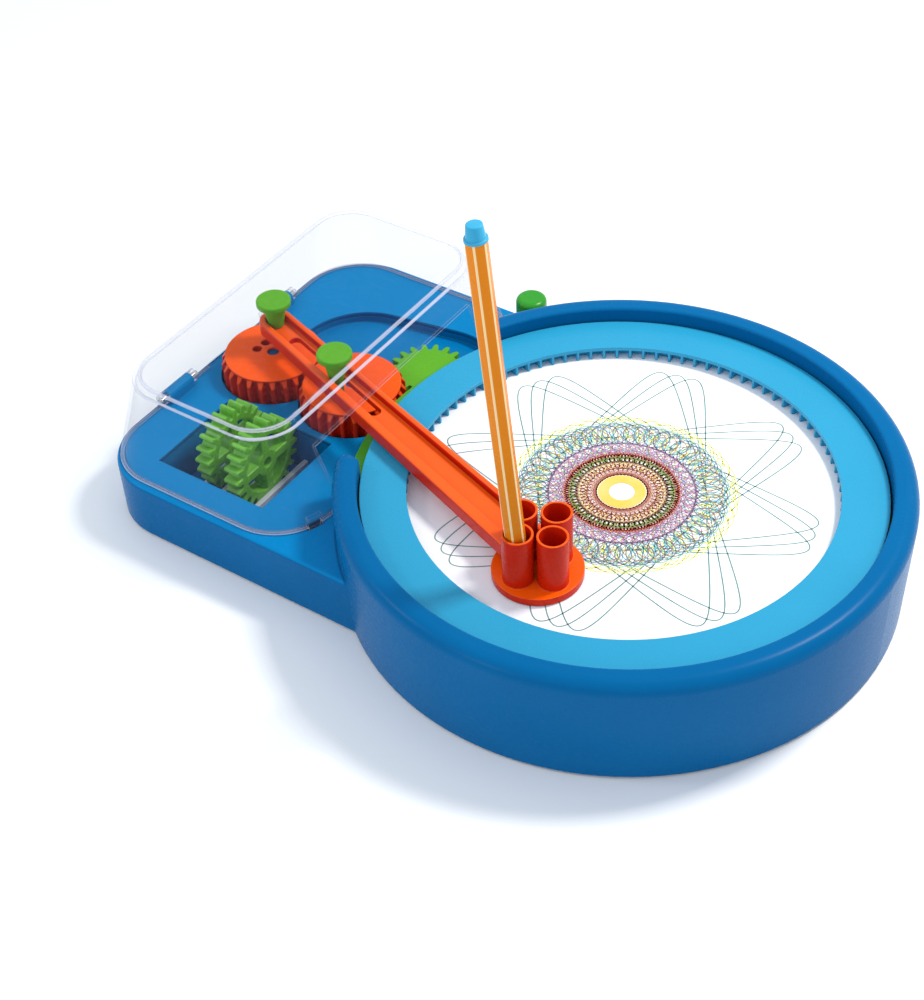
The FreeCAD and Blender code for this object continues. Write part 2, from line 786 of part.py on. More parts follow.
WHEEL_LOW = 7.0
WHEEL_THICK = 4.3
gear_boss = [cylinder("gear_boss", S.post_radius * 2, WHEEL_LOW - S.running - PLATE_TOP, (*at, PLATE_TOP))
             for at in (OUTPUT, WHEEL)]
gear_boss_holes = [cylinder("gear_boss_hole", S.post_radius, TALL, (*at, PLATE_TOP))
                   for at in (OUTPUT, WHEEL)]

CRADLE_WALL = 1.4
CRADLE_DEPTH = 2.0
cradle_height = S.motor_bottom - PLATE_TOP + CRADLE_DEPTH
cradle_ring = cylinder("cradle_ring", S.motor_radius + S.fit + CRADLE_WALL, cradle_height, (*MOTOR, PLATE_TOP))
cradle_room = cylinder("cradle_room", S.motor_radius + S.fit, TALL, (*MOTOR, S.motor_bottom))
motor_cradle = cut("motor_cradle", cradle_ring, cradle_room)

BAY_WALL = 1.4
BAY_PLAY = 0.3
bay_left = DRUM_X + S.bay_start - S.contact_thick - BAY_PLAY
bay_long = S.battery_length + (S.contact_thick + BAY_PLAY) * 2
bay_half = S.battery_pitch * 1.5
bay_height = S.battery_radius * 2 + BAY_PLAY * 2
bay_outer = box("bay_outer", (bay_long + BAY_WALL * 2, (bay_half + BAY_WALL) * 2, bay_height + BAY_WALL),
                (bay_left - BAY_WALL, -bay_half - BAY_WALL, PLATE_TOP))
bay_room = box("bay_room", (bay_long, bay_half * 2, bay_height + S.plate),
               (bay_left, -bay_half, S.stand_height))
DOOR_TAB = 9.0
door_screw_at = (bay_left + bay_long + BAY_WALL + DOOR_TAB / 2, 0)
door_boss = cylinder("door_boss", SCREW_BOSS, screw_depth + BAY_WALL, (*door_screw_at, PLATE_TOP))
door_boss_arm = box("door_boss_arm", (DOOR_TAB / 2, SCREW_BOSS, screw_depth + BAY_WALL),
                    (door_screw_at[0] - DOOR_TAB / 2, -SCREW_BOSS / 2, PLATE_TOP))
door_room = box("door_room", (bay_long + BAY_WALL + DOOR_TAB, bay_half * 2, S.plate),
                (bay_left, -bay_half, S.stand_height))
door_hole = cylinder("door_boss_hole", S.screw_radius, screw_depth, (*door_screw_at, PLATE_TOP))

SCREW_HEAD = 1.1
HEAD_RISE = 0.1


def screw_holes(name, at):
    shank = cylinder(name + "_shank", S.screw_radius + S.fit, S.plate * 2, (*at, 0))
    head = cylinder(name + "_head", S.screw_head_radius + S.fit, S.stand_height + SCREW_HEAD + HEAD_RISE,
                    (*at, 0))
    return fuse(name, shank, head)


def screws(name, places):
    """Pan-head screws, driven up from below, each as its own solid."""
    low = S.stand_height + HEAD_RISE
    waist = low + SCREW_HEAD
    return group(name, [turned(name + "_screw", [
        (0, low), (S.screw_head_radius, low), (S.screw_head_radius, waist), (S.screw_radius, waist),
        (S.screw_radius, PLATE_TOP + screw_depth), (0, PLATE_TOP + screw_depth)], (*at, 0)) for at in places])


plate_screw_holes = [screw_holes("plate_screw_hole", at) for at in BOX_SCREWS + DRUM_SCREWS]
base_solid = fuse("base_solid", plate_box, plate_disc, spindle_boss, *gear_boss, motor_cradle, bay_outer)
base_open = cut("base_open", base_solid, spindle_hole, *gear_boss_holes, bay_room, door_room,
                *plate_screw_holes)
door_support = cut("door_support", fuse("door_boss_solid", door_boss, door_boss_arm), door_hole)
piece("bottom_cover", fuse("base", base_open, door_support))
piece("housing_screws", screws("housing_screws", BOX_SCREWS + DRUM_SCREWS))

door_plate = box("door_plate", (bay_long + BAY_WALL + DOOR_TAB - S.fit * 2, (bay_half - S.fit) * 2, S.plate),
                 (bay_left + S.fit, -bay_half + S.fit, S.stand_height))
GRIP_COUNT = 5
GRIP_START = 6.0
GRIP_PITCH = 2.6
GRIP_WIDTH = 1.2
GRIP_DEPTH = 0.6
grips = [box("door_grip", (GRIP_WIDTH, bay_half, GRIP_DEPTH),
             (bay_left + GRIP_START + number * GRIP_PITCH, -bay_half / 2, S.stand_height))
         for number in range(GRIP_COUNT)]
piece("battery_door", cut("door", door_plate, screw_holes("door_screw_hole", door_screw_at), *grips))
piece("battery_door_screw", screws("door_screw", [door_screw_at]))

FOOT_SPREAD = 86.0
foot_places = [polar(DRUM, FOOT_SPREAD, angle) for angle in (40.0, 100.0, 260.0, 320.0)]
foot_places += [(BOX_LEFT + 24.0, side * (HALF_BOX - 31.0)) for side in (1, -1)]
piece("rubber_feet", group("feet", [cylinder("foot", S.foot_radius, S.stand_height, (*at, 0))
                                    for at in foot_places]))

# Batteries, their contacts, the motor, the switch and the wires between them

cell_height = PLATE_TOP + BAY_PLAY + S.battery_radius
NUB_LENGTH = 1.0
NUB_RADIUS = 2.6


def cell(name, lane):
    side = -1 if lane == 0 else 1
    body_long = S.battery_length - NUB_LENGTH
    start = DRUM_X + S.bay_start + (NUB_LENGTH if side < 0 else 0)
    nub_start = DRUM_X + S.bay_start + (0 if side < 0 else body_long)
    y = lane * S.battery_pitch
    can = cylinder(name + "_can", S.battery_radius, body_long, (start, y, cell_height), ALONG_X)
    nub = cylinder(name + "_nub", NUB_RADIUS, NUB_LENGTH, (nub_start, y, cell_height), ALONG_X)
    return fuse(name, can, nub)


LANES = (-1, 0, 1)
piece("batteries", group("battery_group", [cell("cell", lane) for lane in LANES]))
contact_side = S.battery_radius * 1.5
contact_starts = (DRUM_X + S.bay_start - S.contact_thick, DRUM_X + S.bay_start + S.battery_length)
piece("battery_contacts", group("contact_group", [
    box("contact", (S.contact_thick, contact_side, contact_side),
        (start, lane * S.battery_pitch - contact_side / 2, cell_height - contact_side / 2))
    for start in contact_starts for lane in LANES]))

MOTOR_TOP = S.motor_bottom + S.motor_height
MOTOR_NOSE = 1.0
motor_can = cylinder("motor_can", S.motor_radius, S.motor_height, (*MOTOR, S.motor_bottom))
motor_nose = cylinder("motor_nose", S.motor_shaft_radius * 3, MOTOR_NOSE, (*MOTOR, MOTOR_TOP))
motor_bearing = cylinder("motor_bearing", S.motor_shaft_radius + S.pivot_play, S.motor_height,
                         (*MOTOR, MOTOR_TOP - S.motor_height / 2))
piece("motor", cut("motor_body", fuse("motor_solid", motor_can, motor_nose), motor_bearing))

CLIP_WIDTH = 8.0
CLIP_THICK = 1.2
clip_reach = S.motor_radius + S.fit + CRADLE_WALL + S.running
clip_bar = box("clip_bar", ((clip_reach + CLIP_THICK) * 2, CLIP_WIDTH, CLIP_THICK),
               (-clip_reach - CLIP_THICK, -CLIP_WIDTH / 2, MOTOR_TOP))
clip_legs = [box("clip_leg", (CLIP_THICK, CLIP_WIDTH, MOTOR_TOP - PLATE_TOP),
                 (start, -CLIP_WIDTH / 2, PLATE_TOP)) for start in (-clip_reach - CLIP_THICK, clip_reach)]
clip_hole = cylinder("clip_hole", S.motor_shaft_radius * 3 + S.fit, TALL)
piece("motor_clip", put(cut("motor_strap", fuse("clip_solid", clip_bar, *clip_legs), clip_hole),
                        (*MOTOR, 0), TRAIN_TURN))

# Drive train from the motor to the turntable

PINION_HEIGHT = 7.7
WHEEL_STEP = 0.8
SMALL_WHEEL_THICK = 3.2
SHAFT_RISE = 0.4
HUB_WALL = 0.9
WHEEL_TOP = WHEEL_LOW + WHEEL_THICK
PINION_TOP = WHEEL_TOP + PINION_HEIGHT
SMALL_WHEEL_LOW = PINION_TOP + WHEEL_STEP
SMALL_WHEEL_TOP = SMALL_WHEEL_LOW + SMALL_WHEEL_THICK


def bored(shape, radius, at):
    return shape.cut(disc(radius, -1.0, TALL, *at))


def moving_gear(name, shape, at):
    return coded(name, shape, (*at, 0))


play_bore = S.post_radius + S.pivot_play
output_wheel = spur(WHEEL_TEETH, float(S.wheel_module), OUTPUT_PHASE, WHEEL_LOW, WHEEL_THICK)
output_pinion = spur(OUTPUT_TEETH, MODULE, OUTPUT_PHASE, WHEEL_TOP, PINION_HEIGHT)
output_shape = bored(output_wheel.fuse(output_pinion), play_bore, (0, 0))
piece("drive_gear_1", moving_gear("output_gear", output_shape, OUTPUT))

wheel_pinion = spur(WHEEL_PINION_TEETH, float(S.wheel_module), WHEEL_PHASE, WHEEL_LOW, WHEEL_THICK)
wheel_hub = disc(S.post_radius + HUB_WALL, WHEEL_TOP, PINION_HEIGHT + WHEEL_STEP)
small_wheel = spur(MOTOR_WHEEL_TEETH, float(S.motor_module), WHEEL_PHASE, SMALL_WHEEL_LOW, SMALL_WHEEL_THICK)
wheel_shape = bored(wheel_pinion.fuse(wheel_hub).fuse(small_wheel), play_bore, (0, 0))
piece("drive_gear_2", moving_gear("wheel_gear", wheel_shape, WHEEL))

MOTOR_SHAFT_TOP = SMALL_WHEEL_TOP + SHAFT_RISE
pinion = spur(MOTOR_PINION_TEETH, float(S.motor_module), MOTOR_PHASE, SMALL_WHEEL_LOW, SMALL_WHEEL_THICK)
piece("motor_pinion", moving_gear("motor_gear", bored(pinion, S.motor_shaft_radius, (0, 0)), MOTOR))
shaft_low = MOTOR_TOP - S.motor_height / 2
shaft_long = MOTOR_SHAFT_TOP - shaft_low
piece("motor_shaft", cylinder("shaft", S.motor_shaft_radius, shaft_long, (*MOTOR, shaft_low)))

output_post = cylinder("output_post", S.post_radius, PINION_TOP + SHAFT_RISE - PLATE_TOP, (*OUTPUT, PLATE_TOP))
wheel_post = cylinder("wheel_post", S.post_radius, SMALL_WHEEL_TOP + SHAFT_RISE - PLATE_TOP, (*WHEEL, PLATE_TOP))
piece("drive_gear_posts", group("drive_posts", [output_post, wheel_post]))

# Turntable with its spindle, bush and support pads

PLATE_LEFT = 0.8
SPINDLE_TOP = TURNTABLE_UNDER - PLATE_LEFT
piece("turntable_spindle", drum_core("spindle", S.spindle_radius, PLATE_TOP, SPINDLE_TOP - PLATE_TOP))
bush_height = TURNTABLE_UNDER - S.hub_bottom
bush_blank = drum_core("bush_blank", S.bush_radius, S.hub_bottom, bush_height)
bush_hole = drum_core("bush_hole", S.spindle_radius + S.pivot_play, 0.0, TALL)
piece("turntable_bush", cut("bush", bush_blank, bush_hole))

INNER_ROOT = (S.inner_teeth / 2 + DEDENDUM) * S.tooth_module
TURNTABLE_ROOT = (S.turntable_teeth / 2 - DEDENDUM) * S.tooth_module
pad_radius = (INNER_ROOT + TURNTABLE_ROOT) / 2
PAD_SIZE = 2.4
PAD_GAP = 0.2
pad_height = S.skirt_bottom - PAD_GAP - PLATE_TOP
PAD_COUNT = 6
PAD_START = 30.0
pad_places = [polar(DRUM, pad_radius, PAD_START + number * 360.0 / PAD_COUNT) for number in range(PAD_COUNT)]
piece("support_pads", group("pads", [cylinder("pad", PAD_SIZE, pad_height, (*at, PLATE_TOP))
                                     for at in pad_places]))

TURNTABLE_RIBS = 6
RIB_WIDTH = 2.4
RIB_DEPTH = 3.0
skirt_height = float(TURNTABLE_UNDER - S.skirt_bottom)
skirt_face = toothed_face(TURNTABLE_TEETH, gear_steps(TURNTABLE_TEETH, MODULE), TURNTABLE_PHASE,
                          float(S.skirt_bottom))
inner_phase = TURNTABLE_PHASE + 180.0 / INNER_TEETH
skirt_void = toothed_face(INNER_TEETH, inner_steps(INNER_TEETH, MODULE), inner_phase, float(S.skirt_bottom))
skirt_rise = vector(0, 0, skirt_height)
turntable_shape = skirt_face.extrude(skirt_rise).cut(skirt_void.extrude(skirt_rise))
turntable_shape = turntable_shape.fuse(disc(S.flange_radius, TURNTABLE_UNDER, S.turntable_plate))
turntable_shape = turntable_shape.fuse(disc(S.hub_radius, S.hub_bottom, bush_height))
rib_length = float(pad_radius)
rib_corner = vector(0, -RIB_WIDTH / 2, TURNTABLE_UNDER - RIB_DEPTH)
for number in range(TURNTABLE_RIBS):
    rib = Part.makeBox(rib_length, RIB_WIDTH, RIB_DEPTH, rib_corner)
    rib.rotate(vector(0, 0), ABOUT_Z, number * 360.0 / TURNTABLE_RIBS)
    turntable_shape = turntable_shape.fuse(rib)
turntable_shape = turntable_shape.cut(disc(S.bush_radius, 0.0, TURNTABLE_UNDER))
piece("turntable", coded("turntable_solid", turntable_shape, (DRUM_X, 0, 0)))
piece("paper_disc", drum_core("paper", S.paper_radius, S.turntable_height, S.paper_thick))

ring_root = S.ring_bore + S.ring_tooth_depth
ring_void = toothed_face(int(S.ring_teeth.value), [(float(S.ring_bore), 0.84), (float(ring_root), 0.6)],
                         0.0, float(PAPER_TOP))
ring_shape = disc(S.ring_radius, PAPER_TOP, S.ring_thick).cut(disc(S.ring_bore, 0.0, TALL))
ring_shape = ring_shape.cut(ring_void.extrude(vector(0, 0, S.ring_thick - S.ring_lip)))
piece("clamp_ring", coded("ring", ring_shape, (DRUM_X, 0, 0)))

# Crank gears, the change gear between them and the turntable, and their posts

SPARE_HOLES = ((6.8, 197.5), (6.8, 154.0))
CHAMFER_FALL = 2.2


def crank_gear(name, phase, at, pin_place):
    """A tall gear with a round cap. The teeth slope away from the cap's edge at their top."""
    shape = spur(CRANK_TEETH, MODULE, phase, S.crank_bottom, S.crank_height)
    tip = (CRANK_TEETH / 2 + ADDENDUM) * MODULE
    slope = Part.makeCone(tip, float(S.crank_disc_radius), CHAMFER_FALL,
                          vector(0, 0, CRANK_TEETH_TOP - CHAMFER_FALL))
    slope = slope.fuse(disc(tip, S.crank_bottom, S.crank_height - CHAMFER_FALL))
    shape = shape.common(slope)
    shape = shape.fuse(disc(S.crank_disc_radius, CRANK_TEETH_TOP, S.crank_disc_height))
    shape = bored(shape, S.crank_post_radius + S.pivot_play, (0, 0))
    for throw, angle in (pin_place, *SPARE_HOLES):
        spot = around(throw, angle)
        shape = shape.cut(disc(S.pin_stud_radius + S.pivot_play, CRANK_TOP - S.pin_stud_depth * 1.5, TALL,
                               spot.x, spot.y))
    return piece(name, moving_gear(name, shape, at))


crank_gear("crank_gear_1", CRANK_1_PHASE, CRANK_1, (S.crank_throw, float(S.crank_pin_angle)))
crank_gear("crank_gear_2", CRANK_2_PHASE, CRANK_2, (S.guide_throw, float(S.guide_pin_angle)))
change_shape = spur(CHANGE_TEETH, MODULE, CHANGE_PHASE, S.change_bottom, S.change_thick)
CHANGE_CAP = 1.2
CAP_GAP = 0.4
change_top = S.change_bottom + S.change_thick
change_shape = change_shape.cut(disc(S.change_post_radius + S.pivot_play, 0.0, change_top - CHANGE_CAP))
piece("change_gear", moving_gear("change_gear", change_shape, CHANGE))

crank_posts = [cylinder("crank_post", S.crank_post_radius, CRANK_TEETH_TOP - S.well_floor, (*at, S.well_floor))
               for at in (CRANK_1, CRANK_2)]
change_post = cylinder("change_post", S.change_post_radius, change_top - CHANGE_CAP - CAP_GAP - S.well_floor,
                       (*CHANGE, S.well_floor))
piece("gear_posts", group("deck_posts", [*crank_posts, change_post]))

# Spare gears on edge in their pit, between dividers

SPARE_SHIFT = 1.6
SMALL_BACK = 3.0
LARGE_BACK = 1.0
SPOKE_WIDTH = 3.6
SPARE_HUB = 3.2
WINDOW_RIM = 2.6
PAIR_X = PIT_LEFT + S.pit_length / 2 - SPARE_SHIFT
PIT_CENTRE_Y = PIT_FRONT + S.pit_width / 2


def spare_gear(name, teeth, x, y):
    """A four-spoked gear that stands on its teeth, with its axle line along X."""
    tip = float((teeth / 2 + ADDENDUM) * S.tooth_module)
    window_radius = (teeth / 2 - DEDENDUM) * S.tooth_module - WINDOW_RIM
    shape = toothed_face(teeth, gear_steps(teeth, MODULE), 90.0 / teeth).extrude(vector(0, 0, S.spare_thick))
    shape = shape.cut(disc(S.spare_bore, -1.0, TALL))
    window = disc(window_radius, -1.0, TALL).cut(disc(S.spare_bore + SPARE_HUB, -2.0, TALL * 2))
    for across, along in ((tip, SPOKE_WIDTH / 2), (SPOKE_WIDTH / 2, tip)):
        window = window.cut(Part.makeBox(across * 2, along * 2, TALL, vector(-across, -along, -1.0)))
    place = (x - S.spare_thick / 2, y, S.pit_floor + tip + S.fit)
    return piece(name, coded(name, shape.cut(window), place, ALONG_X))


SMALL_X = PAIR_X - S.spare_pitch / 2
LARGE_X = PAIR_X + S.spare_pitch / 2
spare_gear("spare_gear_small", int(S.spare_small_teeth.value), SMALL_X, PIT_CENTRE_Y + SMALL_BACK)
spare_gear("spare_gear_large", int(S.spare_large_teeth.value), LARGE_X, PIT_CENTRE_Y + LARGE_BACK)

spare_half = S.spare_thick / 2 + S.fit
divider_starts = [start for x in (SMALL_X, LARGE_X) for start in (x - spare_half - S.pit_rib, x + spare_half)]
piece("pit_dividers", group("dividers", [
    box("divider", (S.pit_rib, S.pit_width - S.fit * 2, S.pit_rib_height),
        (start, PIT_FRONT + S.fit, S.pit_floor)) for start in divider_starts]))

# Pins that the gears swing: the crank pin turns in the arm, the guide pin runs in its slot

PIN_GAP = 0.1
GUIDE_GAP = 0.3
NECK_LOW = ARM_WEB_TOP + 0.2
HEAD_LOW = S.pin_head_height - S.pin_head_thick
pin_top = [(S.pin_shank_radius, NECK_LOW), (S.pin_waist_radius, NECK_LOW), (S.pin_neck_radius, HEAD_LOW),
           (S.pin_head_radius, HEAD_LOW), (S.pin_head_radius, S.pin_head_height), (0, S.pin_head_height)]
stud_low = CRANK_TOP - S.pin_stud_depth
stud = [(0, stud_low), (S.pin_stud_radius, stud_low), (S.pin_stud_radius, CRANK_TOP + PIN_GAP),
        (S.pin_shank_radius, CRANK_TOP + PIN_GAP)]
crank_pin = turned("crank_pin_body", stud + pin_top, (*PIN_1, 0))
piece("crank_pin", rounded(crank_pin, S.pin_head_thick / 3, circle_at(S.pin_head_height, S.pin_head_radius)))
guide_foot = [(0, CRANK_TOP + GUIDE_GAP), (S.pin_shank_radius, CRANK_TOP + GUIDE_GAP)]
guide_pin = turned("guide_pin_body", guide_foot + pin_top, (*PIN_2, 0))
piece("guide_pin", rounded(guide_pin, S.pin_head_thick / 3, circle_at(S.pin_head_height, S.pin_head_radius)))

# Arm and pen holder, drawn along X from the crank pin and then turned to their place


def arm_slab(name, points, height):
    return padded(name, points, height, (0, 0, ARM_BOTTOM))


ARM_REACH = S.arm_length - 2.5
near_rib = [(0, -S.arm_end_radius), (ARM_REACH, -S.arm_root_radius), (ARM_REACH, -S.arm_channel_near),
            (0, -S.arm_channel_near)]
far_channel = S.arm_root_radius - (S.arm_end_radius - S.arm_channel_far)
far_rib = [(0, S.arm_channel_far), (ARM_REACH, far_channel), (ARM_REACH, S.arm_root_radius),
           (0, S.arm_end_radius)]
web = [(0, -S.arm_end_radius), (ARM_REACH, -S.arm_root_radius), (ARM_REACH, S.arm_root_radius),
       (0, S.arm_end_radius)]
ring_wall = S.arm_end_radius - S.arm_channel_near
end_web = cylinder("end_web", S.arm_end_radius, S.arm_web, (0, 0, ARM_BOTTOM))
end_ring = cut("end_ring", cylinder("end_disc", S.arm_end_radius, S.arm_rib_height, (0, 0, ARM_BOTTOM)),
               cylinder("end_room", S.arm_end_radius - ring_wall, TALL, (0, 0, ARM_WEB_TOP)),
               box("end_half", (S.arm_length, S.arm_end_radius * 2, TALL), (0, -S.arm_end_radius, ARM_WEB_TOP)))
slot_half = S.pin_shank_radius + PIN_GAP
slot_run = S.slot_end - S.slot_start
slot_ends = [cylinder("slot_end", slot_half, TALL, (at, 0, 0)) for at in (S.slot_start, S.slot_end)]
slot_middle = box("slot_middle", (slot_run, slot_half * 2, TALL), (S.slot_start, -slot_half, 0))
pin_hole = cylinder("arm_pin_hole", S.pin_shank_radius + S.pivot_play, TALL)
TUBES = {"back": (S.arm_length - S.tube_circle, Size("0", 0.0)),
         "front": (S.arm_length + S.tube_circle, Size("0", 0.0)),
         "left": (S.arm_length, S.tube_circle),
         "right": (S.arm_length, -S.tube_circle)}
tube_rooms = [cylinder("tube_room", S.tube_radius, TALL, (*at, 0)) for at in TUBES.values()]
arm_solid = fuse("arm_solid", arm_slab("arm_web_pad", web, S.arm_web), end_web, end_ring,
                 arm_slab("near_rib", near_rib, S.arm_rib_height),
                 arm_slab("far_rib", far_rib, S.arm_rib_height))
arm_cut = cut("arm_body", arm_solid, *slot_ends, slot_middle, pin_hole, *tube_rooms)
piece("arm", put(arm_cut, (*PIN_1, 0), ARM_TURN))

holder_disc = cylinder("holder_disc", S.holder_radius, S.holder_thick, (S.arm_length, 0, HOLDER_BOTTOM))
tubes = [cylinder("tube", S.tube_radius, S.tube_height - HOLDER_BOTTOM, (*at, HOLDER_BOTTOM))
         for at in TUBES.values()]
bores = [cylinder("tube_bore", S.tube_bore, TALL, (*at, 0)) for at in TUBES.values()]
holder_cut = cut("holder_body", fuse("holder_solid", holder_disc, *tubes), *bores)
piece("pen_holder", put(holder_cut, (*PIN_1, 0), ARM_TURN))

# Pen, drawn upright on its tip and then leaned in its tube

PEN_TUBE = (HOLDER[0] + S.tube_circle * arm_run[1] / PIN_SPACING,
            HOLDER[1] - S.tube_circle * arm_run[0] / PIN_SPACING)
PEN_SHIFT = -(S.pen_guide_height - PAPER_TOP) * tangent(S.pen_lean)
PEN_TIP = (*polar(PEN_TUBE, PEN_SHIFT, S.pen_lean_bearing), PAPER_TOP + S.pen_lift)
PEN_TURN = FreeCAD.Rotation(around(1.0, float(S.pen_lean_bearing) + 90), float(S.pen_lean))
HEXAGON = 6
HEX_FLAT = math.cos(math.pi / HEXAGON)
NIB_SEAT = 5.0
cone_top = S.pen_nib_length + S.pen_cone_length
barrel_top = S.pen_length - S.pen_plug_length - S.pen_flange
barrel = prism("barrel", HEXAGON, S.pen_corner_radius, barrel_top - cone_top, (0, 0, cone_top))
nose_cone = cone("nose_cone", S.pen_cone_radius, S.pen_corner_radius * HEX_FLAT, S.pen_cone_length,
                 (0, 0, S.pen_nib_length))
nib_hole = cylinder("nib_hole", S.pen_nib_radius, TALL)
core_low = cone_top + 2.0
core_room = cylinder("core_room", S.pen_bore, TALL * 2, (0, 0, core_low))
barrel_cut = cut("barrel_body", fuse("barrel_solid", barrel, nose_cone), nib_hole, core_room)
piece("pen_barrel", put(barrel_cut, PEN_TIP, PEN_TURN))
nib = cylinder("nib", S.pen_nib_radius, S.pen_nib_length + NIB_SEAT)
piece("pen_nib", put(nib, PEN_TIP, PEN_TURN))
core = cylinder("ink_core", S.pen_bore - S.fit, S.pen_core_length, (0, 0, core_low))
piece("pen_ink_core", put(group("core_group", [core]), PEN_TIP, PEN_TURN))
plug = turned("plug", [
    (0, barrel_top - S.pen_plug_depth), (S.pen_bore, barrel_top - S.pen_plug_depth), (S.pen_bore, barrel_top),
    (S.pen_corner_radius * HEX_FLAT, barrel_top), (S.pen_corner_radius * HEX_FLAT, barrel_top + S.pen_flange),
    (S.pen_plug_radius, barrel_top + S.pen_flange), (S.pen_plug_radius, S.pen_length), (0, S.pen_length)])
rounded(plug, S.pen_plug_radius / 4, circle_at(S.pen_length, S.pen_plug_radius))
piece("pen_plug", put(plug, PEN_TIP, PEN_TURN))

# Clear cover: a leaning shell with its hinge ears, hooks and the opening for the arm


def round_outline(left, right, half_width, corner, height):
    left, right, half_width, corner = float(left), float(right), float(half_width), float(corner)
    bend = corner * (1 - math.sqrt(0.5))
    edges = []
    for side_x, side_y in ((1, 1), (-1, 1), (-1, -1), (1, -1)):
        x = right if side_x > 0 else left
        y = side_y * half_width
        on_side = vector(x, y - side_y * corner, height)
        on_front = vector(x - side_x * corner, y, height)
        middle = vector(x - side_x * bend, y - side_y * bend, height)
        first, last = (on_side, on_front) if side_x == side_y else (on_front, on_side)
        edges.append((first, middle, last))
    loop = []
    for number, (first, middle, last) in enumerate(edges):
        loop.append(Part.Arc(first, middle, last).toShape())
        loop.append(Part.makeLine(last, edges[(number + 1) % 4][0]))
    return Part.Wire(loop)


def leaning_block(inset, low, high):
    """The cover's block between two heights, with its sides moved in by the inset."""
    wires = []
    for height in (low, high):
        rise = float(height) - float(COVER_BOTTOM)
        left = COVER_LEFT + inset + rise * tangent(S.cover_left_slope)
        right = COVER_RIGHT - inset - rise * tangent(S.cover_right_slope)
        half = COVER_HALF - inset - rise * tangent(S.cover_side_slope)
        share = rise / float(S.cover_top - COVER_BOTTOM)
        corner = S.cover_corner + (S.cover_top_corner - S.cover_corner) * share - inset
        wires.append(round_outline(left, right, half, corner, float(height)))
    return Part.makeLoft(wires, True, True)


cover_shape = leaning_block(0.0, COVER_BOTTOM, S.cover_top)
top_edges = [edge for edge in cover_shape.Edges if lies_at(S.cover_top)(edge)]
cover_shape = cover_shape.makeFillet(float(S.cover_round), top_edges)
cover_room = leaning_block(float(S.cover_thick), COVER_BOTTOM, S.cover_top - S.cover_thick)
room_edges = [edge for edge in cover_room.Edges if lies_at(S.cover_top - S.cover_thick)(edge)]
cover_room = cover_room.makeFillet(float(S.cover_round - S.cover_thick), room_edges)
cover_shape = cover_shape.cut(cover_room)
half_opening = S.cover_opening_width / 2
opening_start = COVER_RIGHT - (S.cover_top - COVER_BOTTOM) * tangent(S.cover_right_slope) - S.cover_thick * 3
arm_opening = Part.makeBox(float(COVER_RIGHT - opening_start) + 5.0, float(half_opening * 2),
                           float(S.cover_opening_height), vector(opening_start, -half_opening, 0.0))
DRUM_GAP = 0.8
rim_room = disc(S.drum_radius + DRUM_GAP, 0.0, S.rim_height + DRUM_GAP, DRUM_X)
cover_shape = cover_shape.cut(arm_opening).cut(rim_room)
NOTCH_RISE = 1.0
NOTCH_DEEP = 12.0
notch_top = float(S.hinge_height + S.lug_radius) + NOTCH_RISE


def hinge_side_notch(middle, half_wide, top):
    """Takes the foot of the hinge side away, up to a height, over a stretch along Y."""
    room = Part.makeBox(NOTCH_DEEP, float(half_wide) * 2, float(top),
                        vector(HINGE_X - NOTCH_DEEP / 2, middle - half_wide, 0.0))
    return cover_shape.cut(room)


# The foot swings inwards as the cover opens, so it is shorter where it passes the first crank gear
GEAR_RELIEF_HALF = 13.0
GEAR_RELIEF_RISE = 1.2
cover_shape = hinge_side_notch(CRANK_1[1], GEAR_RELIEF_HALF, COVER_BOTTOM + GEAR_RELIEF_RISE)
half_notch = S.lug_width / 2 + S.fit
ear_bore = S.hinge_pin_radius + S.pivot_play
for middle in HINGE_YS:
    cover_shape = hinge_side_notch(middle, half_notch, notch_top)
    for start in (middle - half_notch - S.ear_width, middle + half_notch):
        ear = Part.makeCylinder(float(S.lug_radius), float(S.ear_width),
                                vector(HINGE_X, start, S.hinge_height), vector(0, 1, 0))
        bore = Part.makeCylinder(float(ear_bore), float(S.ear_width) + 2.0,
                                 vector(HINGE_X, start - 1.0, S.hinge_height), vector(0, 1, 0))
        cover_shape = cover_shape.fuse(ear).cut(bore)
HOOK_RISE = 4.0
hook_tip = S.deck_height - S.hook_depth
for side in (1, -1):
    x, y = polar(hook_centre, hook_circle, HOOK_BEARING)
    tab = Part.makeBox(HOOK_THICK, float(S.hook_width), HOOK_RISE + float(COVER_BOTTOM - hook_tip),
                       vector(-HOOK_THICK / 2, -S.hook_width / 2, hook_tip))
    tab.rotate(vector(0, 0), ABOUT_Z, side * HOOK_BEARING)
    tab.translate(vector(x, side * y))
    cover_shape = cover_shape.fuse(tab)
piece("clear_cover", coded("cover", cover_shape))
piece("hinge_pins", group("hinge_pin_pair", [
    cylinder("hinge_pin", S.hinge_pin_radius, PIN_REACH * 2,
             (HINGE_X, middle - PIN_REACH, S.hinge_height), ALONG_Y) for middle in HINGE_YS]))

# Power button, its clip, spring and switch

HEAD_GAP = 2.5
PLUNGER_LOW = 12.0
STEM_LOW = 17.0
PLUNGER_RADIUS = 1.8
head_low = S.deck_height + HEAD_GAP
button = turned("button_body", [
    (0, PLUNGER_LOW), (PLUNGER_RADIUS, PLUNGER_LOW), (PLUNGER_RADIUS, STEM_LOW),
    (S.button_stem_radius, STEM_LOW), (S.button_stem_radius, head_low), (S.button_radius, head_low),
    (S.button_radius, S.button_height), (0, S.button_height)], (*BUTTON, 0))
rounded(button, S.button_round, circle_at(S.button_height, S.button_radius))
piece("power_button", button)
CLIP_RIM = 1.1
clip_low = DECK_UNDER - S.fit - CLIP_RIM
clip_disc = cylinder("clip_disc", S.button_stem_radius + CLIP_RIM, CLIP_RIM, (*BUTTON, clip_low))
clip_bore = cylinder("clip_bore", S.button_stem_radius, TALL, (*BUTTON, 0))
